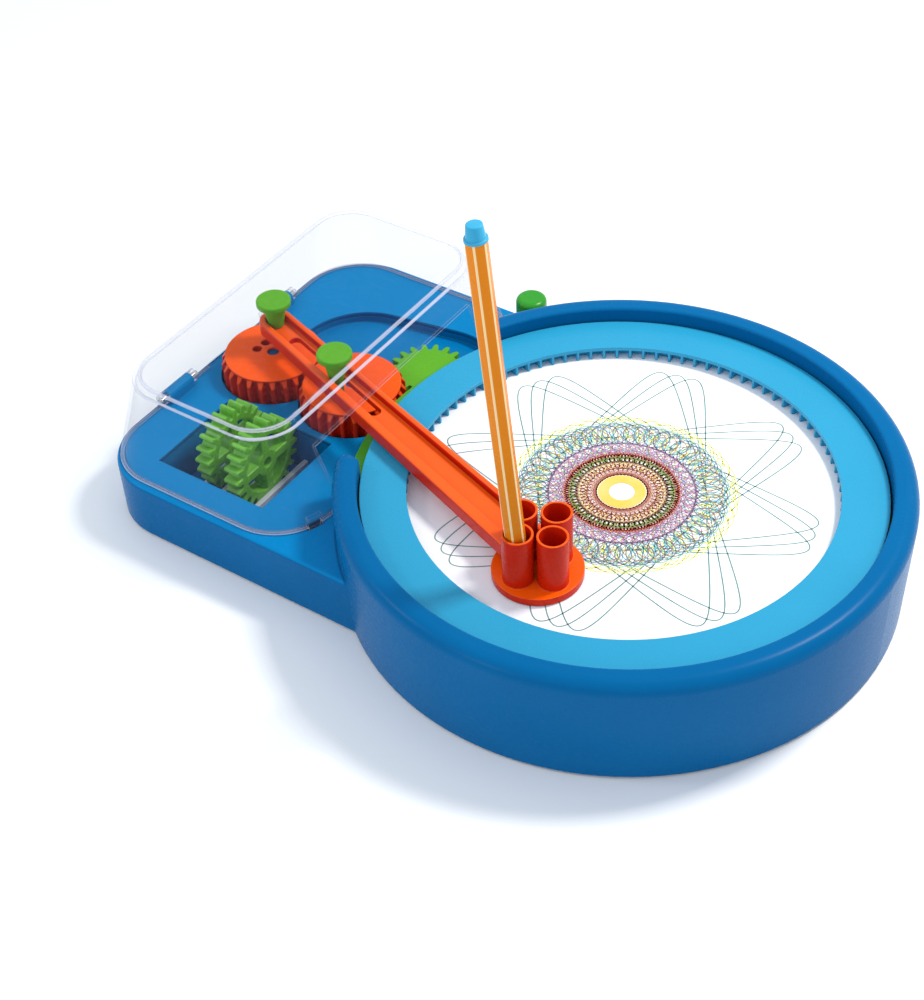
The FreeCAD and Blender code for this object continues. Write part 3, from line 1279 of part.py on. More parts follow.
piece("button_clip", cut("retaining_clip", clip_disc, clip_bore))
SWITCH_CLEARANCE = 0.6
SWITCH_LONG = 12.6
SWITCH_SIDE = 9.0
SWITCH_SHIFT = 2.0
switch_top = PLUNGER_LOW - S.button_travel - SWITCH_CLEARANCE
switch_corner = (BUTTON[0] - SWITCH_LONG / 2, BUTTON[1] - SWITCH_SIDE / 2 - SWITCH_SHIFT, PLATE_TOP)
piece("power_switch", box("switch_body", (SWITCH_LONG, SWITCH_SIDE, switch_top - PLATE_TOP), switch_corner))
SPRING_GAP = 0.2
SPRING_RADIUS = 3.4
spring_height = STEM_LOW - S.button_travel - SPRING_GAP - switch_top
spring_outer = cylinder("spring_outer", SPRING_RADIUS, spring_height, (*BUTTON, switch_top))
spring_inner = cylinder("spring_inner", PLUNGER_RADIUS + S.running, TALL, (*BUTTON, 0))
piece("button_spring", cut("return_spring", spring_outer, spring_inner))

# Wires on the base plate, from the battery bay to the switch and the motor

ARC_SHARE = 0.45


def wire_path(points):
    """Straight runs joined by tangent arcs."""
    edges = []
    last = points[0]
    for before, corner, after in zip(points, points[1:], points[2:]):
        back = (before - corner)
        ahead = (after - corner)
        trim = ARC_SHARE * min(back.Length, ahead.Length)
        start = corner + FreeCAD.Vector(back).normalize() * trim
        end = corner + FreeCAD.Vector(ahead).normalize() * trim
        half_turn = (math.pi - back.getAngle(ahead)) / 2
        inward = (FreeCAD.Vector(back).normalize() + FreeCAD.Vector(ahead).normalize()).normalize()
        radius = trim / math.tan(half_turn)
        sag = radius / math.cos(half_turn) - radius
        edges.append(Part.makeLine(last, start))
        edges.append(Part.Arc(start, corner + inward * sag, end).toShape())
        last = end
    edges.append(Part.makeLine(last, points[-1]))
    return Part.Wire(edges)


def wire(points):
    height = float(PLATE_TOP + S.wire_radius)
    spots = [vector(float(DRUM_X) + x, y, height) for x, y in points]
    path = wire_path(spots)
    section = Part.Wire([Part.makeCircle(float(S.wire_radius), spots[0], spots[1] - spots[0])])
    return path.makePipe(Part.Face(section))


WIRES = (
    ((15.0, 23.0), (2.0, 58.0), (-30.0, 84.0), (-60.0, 76.0), (-79.0, 74.0)),
    ((-79.0, 70.0), (-66.0, 55.0), (-50.0, 42.0), (-37.5, 40.0)),
    ((15.0, 10.0), (2.0, 18.0), (-10.0, 27.0)),
)
piece("wires", coded("wire_group", Part.makeCompound([wire(points) for points in WIRES])))

# Check every object, then write each piece

doc.recompute()
for item in doc.Objects:
    if "Invalid" in item.State or "Error" in item.State:
        raise RuntimeError("%s failed: %s" % (item.Name, item.getStatusString()))
for node, item in pieces.items():
    if item.Shape.isNull() or not item.Shape.isValid() or not item.Shape.Solids:
        raise RuntimeError("%s has no valid shape" % node)
os.makedirs("parts", exist_ok=True)
for node, item in pieces.items():
    item.Shape.exportStep("parts/%s.step" % node)
print("%d pieces written" % len(pieces))
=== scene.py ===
import math

import bpy
from mathutils import Matrix, Vector


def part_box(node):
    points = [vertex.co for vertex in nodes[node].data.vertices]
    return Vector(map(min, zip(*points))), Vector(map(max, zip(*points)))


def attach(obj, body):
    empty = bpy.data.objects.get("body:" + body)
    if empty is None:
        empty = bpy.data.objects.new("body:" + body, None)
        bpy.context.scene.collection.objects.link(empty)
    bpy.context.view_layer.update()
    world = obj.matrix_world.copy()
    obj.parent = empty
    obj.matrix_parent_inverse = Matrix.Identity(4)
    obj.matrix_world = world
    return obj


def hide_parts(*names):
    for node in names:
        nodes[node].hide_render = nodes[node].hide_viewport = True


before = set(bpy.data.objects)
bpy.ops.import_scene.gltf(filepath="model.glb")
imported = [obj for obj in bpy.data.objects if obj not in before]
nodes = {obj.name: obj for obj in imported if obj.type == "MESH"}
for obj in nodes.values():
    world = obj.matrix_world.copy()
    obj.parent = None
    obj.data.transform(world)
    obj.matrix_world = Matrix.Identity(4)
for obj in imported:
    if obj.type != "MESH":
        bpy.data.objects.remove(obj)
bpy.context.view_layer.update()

# Camera, table and lights
# The machine stands on a plain white table, under a small lamp behind its right side, with weak large
# lights at its left and in front, as in a catalogue picture.

CAMERA_PLACE = (0.2803, -0.4224, 0.4773)
CAMERA_BEARING = math.radians(36.275)
CAMERA_DROP = math.radians(42.551)
CAMERA_ROLL = math.radians(-3.114)
bpy.ops.object.camera_add()
camera = bpy.context.object
camera.data.sensor_width = 36.0
camera.data.sensor_fit = "HORIZONTAL"
camera.data.lens = 70.85
camera.data.clip_start = 0.01
camera.matrix_world = (Matrix.Translation(CAMERA_PLACE)
                       @ Matrix.Rotation(CAMERA_BEARING, 4, "Z")
                       @ Matrix.Rotation(math.pi / 2 - CAMERA_DROP, 4, "X")
                       @ Matrix.Rotation(CAMERA_ROLL, 4, "Z"))
bpy.context.scene.camera = camera
bpy.context.scene.view_settings.view_transform = "Standard"

world = bpy.data.worlds.new("studio")
world.use_nodes = True
world.node_tree.nodes["Background"].inputs["Color"].default_value = (0.83, 0.91, 1.0, 1.0)
world.node_tree.nodes["Background"].inputs["Strength"].default_value = 0.85
bpy.context.scene.world = world


def soft_light(name, bearing, height, distance, size, power, colour):
    """An area light that looks at the middle of the machine from a bearing and a height in degrees."""
    turn, rise = math.radians(bearing), math.radians(height)
    away = Vector((math.cos(turn) * math.cos(rise), math.sin(turn) * math.cos(rise), math.sin(rise)))
    bpy.ops.object.light_add(type="AREA", location=away * distance)
    light = bpy.context.object
    light.name = name
    light.rotation_euler = away.to_track_quat("Z", "Y").to_euler()
    light.data.shape = "RECTANGLE"
    light.data.size, light.data.size_y = size
    light.data.energy = power
    light.data.color = colour


soft_light("key_light", 50.0, 58.0, 0.75, (0.13, 0.13), 4.3, (1.0, 0.95, 0.88))
soft_light("left_fill", 212.0, 36.0, 2.0, (0.30, 0.30), 5.0, (0.97, 0.98, 1.0))
soft_light("front_fill", -105.0, 22.0, 2.0, (0.40, 0.40), 4.0, (0.95, 0.98, 1.0))

bpy.ops.mesh.primitive_plane_add(size=8.0)
table = bpy.context.object
table.name = "table_top"


class Socket:
    """An output in a material's nodes. Sums, products and powers of it add their Math nodes."""

    def __init__(self, finish, output):
        self.finish = finish
        self.output = output

    def maths(self, operation, first, second):
        return self.finish.node("ShaderNodeMath", {"operation": operation}, {0: first, 1: second})

    def __add__(self, other):
        return self.maths("ADD", self, other)

    __radd__ = __add__

    def __sub__(self, other):
        return self.maths("SUBTRACT", self, other)

    def __rsub__(self, other):
        return self.maths("SUBTRACT", other, self)

    def __mul__(self, other):
        return self.maths("MULTIPLY", self, other)

    __rmul__ = __mul__

    def __pow__(self, other):
        return self.maths("POWER", self, other)

    def __gt__(self, other):
        return self.maths("GREATER_THAN", self, other)


class Finish:
    """A material in the making, with the numbers that are the same all over its surface."""

    def __init__(self, name, constants):
        self.material = bpy.data.materials.new(name)
        self.material.use_nodes = True
        self.shader = self.material.node_tree.nodes["Principled BSDF"]
        for socket, value in constants.items():
            self.shader.inputs[socket].default_value = value

    def node(self, kind, settings=None, values=None, output=0):
        """Adds a node. Its settings are set first, then the values or links of its sockets."""
        made = self.material.node_tree.nodes.new(kind)
        for setting, value in (settings or {}).items():
            setattr(made, setting, value)
        for socket, value in (values or {}).items():
            self.join(made.inputs[socket], value)
        return Socket(self, made.outputs[output])

    def join(self, socket, value):
        if isinstance(value, Socket):
            self.material.node_tree.links.new(value.output, socket)
        elif socket.type == "RGBA" and len(value) == 3:
            socket.default_value = (*value, 1.0)
        else:
            socket.default_value = value

    def feed(self, **links):
        """Sets or links the shader's sockets, which are named with underscores for their spaces."""
        for socket, value in links.items():
            self.join(self.shader.inputs[socket.replace("_", " ")], value)

    def place(self):
        return self.node("ShaderNodeTexCoord", output="Object")

    def noise(self, scale, detail=2.0, stretch=None):
        """A cloudy pattern. A stretch above 1 along an axis packs it closer there."""
        place = self.place()
        if stretch:
            place = self.node("ShaderNodeMapping", {"vector_type": "POINT"},
                              {"Vector": place, "Scale": stretch})
        return self.node("ShaderNodeTexNoise", None, {"Vector": place, "Scale": scale, "Detail": detail})

    def mix(self, share, first, second):
        """Goes from the first colour to the second as the share goes from 0 to 1."""
        return self.node("ShaderNodeMix", {"data_type": "RGBA"}, {0: share, 6: first, 7: second}, output=2)

    def bump(self, height, distance, normal=None):
        values = {"Height": height, "Distance": distance, "Strength": 1.0}
        if normal:
            values["Normal"] = normal
        return self.node("ShaderNodeBump", None, values)


def paint(thing, finish):
    thing.data.materials.clear()
    thing.data.materials.append(finish.material)


table_finish = Finish("white_card", {"Roughness": 0.7})
grain = table_finish.noise(9.0, 3.0)
table_finish.feed(Base_Color=table_finish.mix(grain, (0.90, 0.905, 0.92), (0.93, 0.935, 0.94)))
paint(table, table_finish)

# Case: box and drum in one
# One glossy blue styrene moulding. The box's round corners and the drum's rolled rim are softened, as
# the mould leaves them. Screws from below hold the base to its bosses.

FLOW_MARK = 0.0022


def plastic(name, dark, light, roughness=0.24, gloss=0.3, edge=0.0005, edge_highlight_strength=2.6, accent=None):
    """Glossy moulded plastic: a faint cloud of colour, fine flow marks, and a painted highlight on its
    edges.
    """
    finish = Finish(name, {"IOR": 1.5, "Specular IOR Level": gloss})
    cloud = finish.noise(38.0, 3.0)
    flow = finish.noise(1.0 / FLOW_MARK, 2.0)
    body = finish.mix(cloud, dark, light)
    if accent:
        body = accent(finish, body)
    rounded = finish.node("ShaderNodeBevel", {"samples": 4}, {"Radius": edge})
    flat = finish.node("ShaderNodeNewGeometry", output="Normal")
    facing = finish.node("ShaderNodeVectorMath", {"operation": "DOT_PRODUCT"},
                         {0: rounded, 1: flat}, "Value")
    # Painted highlight: where the softened normal turns from the true one, near the edges, the colour goes
    # to a paler copy of the light colour.
    edge_highlight_colour = [min(1.0, channel * 1.3 + 0.05) for channel in light]
    finish.feed(Base_Color=finish.mix((1.0 - facing) * edge_highlight_strength, body, edge_highlight_colour),
                Roughness=roughness + 0.06 * flow,
                Normal=finish.bump(flow, 0.0000012, rounded))
    return finish


DRUM_MIDDLE = (0.0417, 0.0, 0.0)
DECK_EDGE = 0.1046
DECK_TOP = 0.0236


def painted_deck_light(finish, body):
    """Painted light: the deck beside the drum is painted a little lighter than the walls, as a top face in
    the light.
    """
    place = finish.place()
    flat = finish.node("ShaderNodeVectorMath", {"operation": "MULTIPLY"}, {0: place, 1: (1.0, 1.0, 0.0)})
    reach = finish.node("ShaderNodeVectorMath", {"operation": "DISTANCE"},
                        {0: flat, 1: DRUM_MIDDLE}, "Value")
    height = finish.node("ShaderNodeSeparateXYZ", None, {0: place}, "Z")
    return finish.mix((reach > DECK_EDGE) * (height > DECK_TOP), body, (0.001, 0.200, 0.480))


# The case's blue is painted lighter on the deck's top than on its walls, as painted light from above.
case_blue = plastic("case_blue", (0.000, 0.103, 0.280), (0.001, 0.122, 0.320), gloss=0.05, accent=painted_deck_light)
paint(nodes["main_housing"], case_blue)

# Gear tray
# The floors of the wells and of the pit are a second blue moulding, glued under the deck. Their blue is
# painted lighter than the case's walls, as painted light on these flat floors.

tray_blue = plastic("tray_blue", (0.000, 0.165, 0.420), (0.001, 0.185, 0.460), gloss=0.05)
paint(nodes["gear_tray"], tray_blue)

# Base with its door, feet and screws
# A plain blue plate closes the case from below. Five screws hold it, a sixth holds the battery door,
# and six rubber feet are stuck on along its edge.

base_blue = plastic("base_blue", (0.001, 0.075, 0.210), (0.002, 0.095, 0.260), roughness=0.45)
paint(nodes["bottom_cover"], base_blue)
paint(nodes["battery_door"], base_blue)
# Painted shade: the gear posts take the darker base blue so that they read as shaded holes between the
# gears.
paint(nodes["gear_posts"], base_blue)

rubber = Finish("foot_rubber", {"IOR": 1.45})
speckle = rubber.noise(900.0, 3.0)
rubber.feed(Base_Color=rubber.mix(speckle, (0.012, 0.012, 0.013), (0.035, 0.035, 0.037)),
            Roughness=0.72 + 0.15 * speckle,
            Normal=rubber.bump(speckle, 0.00004))
paint(nodes["rubber_feet"], rubber)


def steel(name, dark, light, roughness=0.28):
    """Bright steel with the fine lines that turning or rolling leaves."""
    finish = Finish(name, {"Metallic": 1.0})
    lines = finish.noise(420.0, 4.0, (1.0, 1.0, 12.0))
    finish.feed(Base_Color=finish.mix(lines, dark, light),
                Roughness=roughness + 0.14 * lines,
                Normal=finish.bump(lines, 0.000008))
    return finish


plated = steel("plated_steel", (0.42, 0.42, 0.44), (0.66, 0.66, 0.68))
for node in ("housing_screws", "battery_door_screw", "motor_clip", "button_clip", "button_spring"):
    paint(nodes[node], plated)

# Works inside: motor, cells, contacts, switch and wires
# The motor is a small steel can, three cells lie in the bay with plated contacts, and three red wires
# run over the base plate.

shaft = steel("bright_shaft", (0.50, 0.50, 0.52), (0.75, 0.75, 0.77), 0.16)
for node in ("motor_shaft", "drive_gear_posts", "turntable_spindle", "hinge_pins"):
    paint(nodes[node], shaft)
can = steel("motor_can", (0.45, 0.45, 0.46), (0.70, 0.70, 0.71), 0.3)
paint(nodes["motor"], can)
contact = steel("contact_plate", (0.60, 0.58, 0.52), (0.78, 0.76, 0.70), 0.22)
paint(nodes["battery_contacts"], contact)
brass = steel("bush_brass", (0.62, 0.40, 0.12), (0.80, 0.56, 0.20), 0.25)
paint(nodes["turntable_bush"], brass)

wrap = Finish("cell_wrap", {"IOR": 1.5, "Coat Weight": 0.5})
along = wrap.node("ShaderNodeSeparateXYZ", None, {0: wrap.place()}, "X")
CELL_START, CELL_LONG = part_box("batteries")[0].x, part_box("batteries")[1].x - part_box("batteries")[0].x
DARK_SHARE = 0.68
band = (along - (CELL_START + CELL_LONG * DARK_SHARE)) * 4000.0
wrap.feed(Base_Color=wrap.mix(band, (0.02, 0.02, 0.022), (0.62, 0.35, 0.08)),
          Roughness=0.25 + 0.1 * wrap.noise(300.0))
paint(nodes["batteries"], wrap)

switch_black = plastic("switch_black", (0.010, 0.010, 0.011), (0.022, 0.022, 0.024), roughness=0.5)
paint(nodes["power_switch"], switch_black)
wire_red = plastic("wire_red", (0.30, 0.006, 0.006), (0.45, 0.012, 0.010), roughness=0.4, edge=0.0002)
paint(nodes["wires"], wire_red)

# Drive train
# Pale nylon gears with steel posts take the motor's speed down to the turntable's inner teeth.

nylon = plastic("nylon_gear", (0.62, 0.61, 0.57), (0.74, 0.73, 0.69), roughness=0.42)
for node in ("drive_gear_1", "drive_gear_2", "motor_pinion", "support_pads"):
    paint(nodes[node], nylon)

# Turntable
# A green disc with a toothed skirt, which turns on the spindle and drives the change gear.

leaf_green = plastic("leaf_green", (0.060, 0.290, 0.014), (0.085, 0.360, 0.024), gloss=0.2)
paint(nodes["turntable"], leaf_green)

# Paper disc and its drawing
# White card with closed curves in felt ink. Most of them swing between two radii while they go round
# the disc, as the machine draws them. The violet, red and soot ones are stars of straight lines.

paper = Finish("paper_card", {"IOR": 1.4})
fibre = paper.noise(1500.0, 4.0)
tone = paper.noise(30.0, 2.0)
paper.feed(Base_Color=paper.mix(tone, (0.86, 0.87, 0.92), (0.90, 0.91, 0.94)),
           Roughness=0.8 + 0.15 * fibre,
           Normal=paper.bump(fibre, 0.00001))
paint(nodes["paper_disc"], paper)

paper_low, paper_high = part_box("paper_disc")
PAPER_MIDDLE = (paper_low + paper_high) / 2
INK_LIFT = 0.00003
LAYER_LIFT = 0.000008


def ribbon_profile(name, width):
    """The straight cross-section that makes a pen line a flat ribbon."""
    profile = bpy.data.curves.new(name, "CURVE")
    profile.dimensions = "2D"
    spline = profile.splines.new("POLY")
    spline.points.add(1)
    spline.points[0].co = (-width / 2, 0.0, 0.0, 1.0)
    spline.points[1].co = (width / 2, 0.0, 0.0, 1.0)
    made = bpy.data.objects.new(name, profile)
    bpy.context.scene.collection.objects.link(made)
    return made


def rosette(inner, outer, lobes, turns=1, phase=0.0, steps=26):
    """Points of a closed curve that swings between two radii, a number of times in its turns."""
    middle, swing = (inner + outer) / 2, (outer - inner) / 2
    points = []
    for step in range(lobes * steps):
        angle = 2 * math.pi * turns * step / (lobes * steps)
        back = angle * (lobes / turns - 1)
        x = middle * math.cos(angle) + swing * math.cos(back)
        y = middle * math.sin(angle) - swing * math.sin(back)
        points.append((x * math.cos(phase) - y * math.sin(phase),
                       x * math.sin(phase) + y * math.cos(phase)))
    return points


def chords(radius, corners, stride, phase=0.0):
    """Points of a star of straight lines between corners on a circle."""
    points = []
    for number in range(corners):
        angle = phase + 2 * math.pi * stride * number / corners
        points.append((radius * math.cos(angle), radius * math.sin(angle)))
    return points


def ink(name, colour, width, curves, layer):
    """Felt ink lines of one colour and width, as flat ribbons in a thin layer over the paper."""
    profile = ribbon_profile(name + "_profile", width)
    drawing = bpy.data.curves.new(name, "CURVE")
    drawing.dimensions = "3D"
    drawing.twist_mode = "Z_UP"
    drawing.bevel_mode = "OBJECT"
    drawing.bevel_object = profile
    height = paper_high.z + INK_LIFT + layer * LAYER_LIFT
    for points in curves:
        spline = drawing.splines.new("POLY")
        spline.points.add(len(points) - 1)
        for point, (x, y) in zip(spline.points, points):
            point.co = (PAPER_MIDDLE.x + x, PAPER_MIDDLE.y + y, height, 1.0)
        spline.use_cyclic_u = True
    made = bpy.data.objects.new(name, drawing)
    bpy.context.scene.collection.objects.link(made)
    bpy.ops.object.select_all(action="DESELECT")
    made.select_set(True)
    bpy.context.view_layer.objects.active = made
    bpy.ops.object.convert(target="MESH")
    made = bpy.context.object
    made.name = name
    bpy.data.objects.remove(profile)
    finish = Finish(name, {"IOR": 1.4, "Specular IOR Level": 0.2})
    flow = finish.noise(160.0, 3.0)
    thin = [channel + (1.0 - channel) * 0.25 for channel in colour]
    finish.feed(Base_Color=finish.mix(flow, colour, thin), Roughness=0.6 + 0.2 * flow)
    paint(made, finish)
    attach(made, "turntable")


TEAL_TURN = math.radians(57.5)
ink("ink_teal", (0.02, 0.17, 0.15), 0.00048,
    [rosette(0.0300, 0.0704, 8, 3, TEAL_TURN + math.radians(turn), 60) for turn in (-5.5, 0.0, 5.5)], 0)
ink("ink_yellow", (0.72, 0.76, 0.04), 0.00034,
    [rosette(0.0200, 0.0418, 40), rosette(0.0290, 0.0405, 52)], 1)
ink("ink_straw", (0.95, 0.72, 0.20), 0.00050,
    [rosette(0.0090, 0.0150, 44), rosette(0.0124, 0.0164, 58)], 1)
ink("ink_sky", (0.02, 0.38, 0.50), 0.00034,
    [rosette(0.0265, 0.0385, 48), rosette(0.0225, 0.0370, 44)], 2)
ink("ink_brown", (0.34, 0.06, 0.05), 0.00026, [rosette(0.0203, 0.0362, 44, 1, 0.05)], 3)
ink("ink_black", (0.02, 0.05, 0.08), 0.00034, [rosette(0.0262, 0.0378, 52)], 4)
ink("ink_magenta", (0.60, 0.16, 0.42), 0.00028,
    [rosette(0.0202, 0.0270, 50), rosette(0.0206, 0.0268, 41, 2)], 5)
ink("ink_violet", (0.07, 0.015, 0.10), 0.00018, [chords(0.0268, 67, 15)], 6)
ink("ink_navy", (0.01, 0.01, 0.09), 0.00038, [rosette(0.0264, 0.0271, 90)], 6)
ink("ink_orange", (0.66, 0.075, 0.008), 0.00050,
    [rosette(0.0184, 0.0208, 120), rosette(0.0180, 0.0202, 97)], 7)
ink("ink_olive", (0.17, 0.23, 0.004), 0.00050,
    [rosette(0.0158, 0.0186, 60), rosette(0.0163, 0.0189, 79)], 8)
ink("ink_red", (0.70, 0.05, 0.06), 0.00020, [chords(0.0168, 61, 19)], 9)
ink("ink_soot", (0.08, 0.02, 0.04), 0.00014, [chords(0.0168, 37, 11, 0.02)], 9)
ink("ink_amber", (0.88, 0.50, 0.008), 0.0040, [rosette(0.0066, 0.0066, 90, 1, 0.0, 2)], 10)

# Clamp ring
# A flat cyan ring with inner teeth, clipped over the edge of the paper.

ring_cyan = plastic("ring_cyan", (0.018, 0.285, 0.490), (0.024, 0.310, 0.520), gloss=0.2)
paint(nodes["clamp_ring"], ring_cyan)

# Crank gears, change gear and spare gears
# Two tall orange gears with round caps, a flat green change gear between them and the turntable, and
# two spoked green gears kept on edge in the pit between pale ribs.


def ramp_between(finish, value, start, end):
    """0 where the value is at start and 1 where it is at end, with a soft change between."""
    return finish.node("ShaderNodeMapRange", {"interpolation_type": "SMOOTHSTEP"},
                       {"Value": value, "From Min": start, "From Max": end})


def painted_side_shade(finish, body):
    """Painted shade: the sides are painted a deeper red than the flat top faces, which stand in the light.
    """
    upward = finish.node("ShaderNodeSeparateXYZ", None,
                         {0: finish.node("ShaderNodeTexCoord", output="Normal")}, "Z")
    return finish.mix(ramp_between(finish, upward, 0.25, 0.9), (0.620, 0.018, 0.002), body)


orange = plastic("orange_red", (0.900, 0.085, 0.002), (0.960, 0.115, 0.004), gloss=0.12,
                 edge=0.0009, edge_highlight_strength=0.9, accent=painted_side_shade)
spring_green = plastic("spring_green", (0.090, 0.350, 0.014), (0.125, 0.420, 0.022), gloss=0.12)
for node in ("crank_gear_1", "crank_gear_2"):
    paint(nodes[node], orange)
paint(nodes["change_gear"], spring_green)
# The spare gears are painted a lighter green than the pins and the change gear, as painted light on them in
# the pit.
spare_green_painted_light = plastic("spare_green_painted_light", (0.120, 0.400, 0.025), (0.160, 0.480, 0.040), gloss=0.4,
                      edge=0.0009, edge_highlight_strength=2.4)
for node in ("spare_gear_small", "spare_gear_large"):
    paint(nodes[node], spare_green_painted_light)
rib_grey = plastic("rib_grey", (0.52, 0.56, 0.62), (0.62, 0.66, 0.72), roughness=0.4)
paint(nodes["pit_dividers"], rib_grey)

# Pins, arm and pen holder
# Green pins with flat heads stand in the gears and move the orange arm, which is shown by a copy with
# rounded rails. The holder at its end is one piece with four tubes.

for node in ("crank_pin", "guide_pin"):
    paint(nodes[node], spring_green)
for node in ("arm", "pen_holder"):
    paint(nodes[node], orange)


def select_where(thing, kind, test):
    """Selects the faces or edges of a thing in edit mode whose middle and direction pass a test."""
    bpy.ops.object.mode_set(mode="OBJECT")
    mesh = thing.data
    for item in [*mesh.vertices, *mesh.edges, *mesh.polygons]:
        item.select = False
    if kind == "FACE":
        for face in mesh.polygons:
            face.select = test(face.center, face.normal)
    else:
        for edge in mesh.edges:
            first, second = (mesh.vertices[number].co for number in edge.vertices)
            edge.select = test((first + second) / 2, (second - first).normalized())
    bpy.ops.object.mode_set(mode="EDIT")
    bpy.ops.mesh.select_mode(type=kind)


RAIL_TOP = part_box("arm")[1].z
HOLDER_MIDDLE = (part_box("pen_holder")[0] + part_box("pen_holder")[1]) / 2
HOLDER_CLEAR = 0.019
RAIL_ROUND = 0.00095
WELD = 0.000004
rails = bpy.data.objects.new("arm_with_round_rails", nodes["arm"].data.copy())
bpy.context.scene.collection.objects.link(rails)
bpy.ops.object.select_all(action="DESELECT")
rails.select_set(True)
bpy.context.view_layer.objects.active = rails
bpy.ops.object.mode_set(mode="EDIT")
bpy.ops.mesh.select_all(action="SELECT")
bpy.ops.mesh.remove_doubles(threshold=WELD)
bpy.ops.mesh.dissolve_limited(angle_limit=math.radians(0.4))
select_where(rails, "EDGE", lambda middle, along: (
    middle.z > RAIL_TOP - 0.00002 and (middle.xy - HOLDER_MIDDLE.xy).length > HOLDER_CLEAR))
bpy.ops.mesh.bevel(offset=RAIL_ROUND, segments=4, profile=0.5, clamp_overlap=False)
bpy.ops.object.mode_set(mode="OBJECT")
bpy.ops.object.shade_smooth_by_angle(angle=math.radians(30))
arm_orange = plastic("arm_orange", (0.880, 0.085, 0.003), (0.940, 0.115, 0.006), gloss=0.25,
                     roughness=0.20, edge=0.0006, edge_highlight_strength=0.9, accent=painted_side_shade)
paint(rails, arm_orange)
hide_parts("arm")
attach(rails, "arm")

# Pen
# A six-sided fibre pen: an amber barrel with a cream line on each corner, a fine black tip in a tapered
# nose, and a pale blue end plug. It leans a little in its tube.

PEN_TIP = Vector((0.036489, -0.058496, 0.0350))
LEAN_AXIS = math.radians(290)
PEN_LEAN = Matrix.Rotation(math.radians(4.5), 4, Vector((math.cos(LEAN_AXIS), math.sin(LEAN_AXIS), 0)))
NOSE_LOW, BARREL_LOW, BARREL_HIGH, PEN_TOP = 0.0024, 0.0124, 0.1405, 0.1460
BARREL_CORNER = 0.0038
BARREL_WALL = 0.00055
BORE_DEPTH = 0.110
NOSE_TAPER = 0.38
CREAM_LINE = 0.00046
bpy.ops.object.select_all(action="DESELECT")
bpy.ops.mesh.primitive_cylinder_add(vertices=6, radius=BARREL_CORNER, depth=BARREL_HIGH - BARREL_LOW,
                                    location=(0, 0, (BARREL_LOW + BARREL_HIGH) / 2),
                                    rotation=(0, 0, math.radians(22)))
barrel = bpy.context.object
barrel.name = "pen_barrel_lined"
bpy.ops.object.transform_apply(location=True, rotation=True, scale=True)

select_where(barrel, "FACE", lambda middle, normal: normal.z < -0.9)
bpy.ops.mesh.extrude_region_move(TRANSFORM_OT_translate={"value": (0, 0, NOSE_LOW - BARREL_LOW)})
bpy.ops.transform.resize(value=(NOSE_TAPER, NOSE_TAPER, 1.0), center_override=(0, 0, NOSE_LOW))
select_where(barrel, "FACE", lambda middle, normal: normal.z > 0.9)
bpy.ops.mesh.inset(thickness=BARREL_WALL)
bpy.ops.mesh.extrude_region_move(TRANSFORM_OT_translate={"value": (0, 0, -BORE_DEPTH)})
bpy.ops.object.mode_set(mode="OBJECT")
pen_amber = plastic("pen_amber", (0.74, 0.205, 0.005), (0.82, 0.245, 0.008), gloss=0.1, edge=0.0002)
paint(barrel, pen_amber)
pen_cream = plastic("pen_cream", (0.90, 0.62, 0.30), (0.95, 0.70, 0.38), gloss=0.1, edge=0.0001)
barrel.data.materials.append(pen_cream.material)
select_where(barrel, "EDGE", lambda middle, along: abs(along.z) > 0.9 and middle.xy.length > 0.0036)
bpy.ops.mesh.bevel(offset=CREAM_LINE, segments=2, profile=0.5, material=1)
bpy.ops.object.mode_set(mode="OBJECT")
barrel.matrix_world = Matrix.Translation(PEN_TIP) @ PEN_LEAN
bpy.ops.object.select_all(action="DESELECT")
barrel.select_set(True)
bpy.context.view_layer.objects.active = barrel
bpy.ops.object.transform_apply(location=True, rotation=True, scale=True)
bpy.ops.object.shade_smooth_by_angle(angle=math.radians(40))
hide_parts("pen_barrel")
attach(barrel, "pen")
paint(nodes["pen_barrel"], pen_amber)
paint(nodes["pen_nib"], switch_black)
felt = plastic("ink_core", (0.06, 0.25, 0.30), (0.09, 0.32, 0.38), roughness=0.7)
paint(nodes["pen_ink_core"], felt)
plug_blue = plastic("plug_blue", (0.03, 0.34, 0.56), (0.05, 0.40, 0.64), gloss=0.2)
paint(nodes["pen_plug"], plug_blue)
STEM_LOW = 0.1290
STEM_RADIUS = 0.0026
bpy.ops.object.select_all(action="DESELECT")
bpy.ops.mesh.primitive_cylinder_add(vertices=48, radius=STEM_RADIUS, depth=BARREL_HIGH - STEM_LOW,
                                    location=(0, 0, (BARREL_HIGH + STEM_LOW) / 2))
plug = bpy.context.object
plug.name = "pen_plug_flared"
bpy.ops.object.transform_apply(location=True, rotation=True, scale=True)
FLANGE = 0.0008
SAME_HEIGHT = 0.000001
for radius, top in ((0.0038, BARREL_HIGH), (0.0037, BARREL_HIGH + FLANGE),
                    (0.0032, BARREL_HIGH + FLANGE), (0.0030, PEN_TOP)):
    select_where(plug, "FACE", lambda middle, normal: normal.z > 0.9 and middle.xy.length < 0.0001)
    end_height = max(vertex.co.z for vertex in plug.data.vertices)
    end_radius = max(vertex.co.xy.length for vertex in plug.data.vertices
                     if vertex.co.z > end_height - SAME_HEIGHT)
    size = radius / end_radius
    bpy.ops.mesh.extrude_region_move(TRANSFORM_OT_translate={"value": (0, 0, top - end_height)})
    bpy.ops.transform.resize(value=(size, size, 1.0), center_override=(0, 0, top))
    bpy.ops.object.mode_set(mode="OBJECT")
select_where(plug, "EDGE", lambda middle, along: middle.z > PEN_TOP - SAME_HEIGHT)
bpy.ops.mesh.bevel(offset=0.0003, segments=3, profile=0.5)
bpy.ops.object.mode_set(mode="OBJECT")
plug.matrix_world = Matrix.Translation(PEN_TIP) @ PEN_LEAN
bpy.ops.object.select_all(action="DESELECT")
plug.select_set(True)
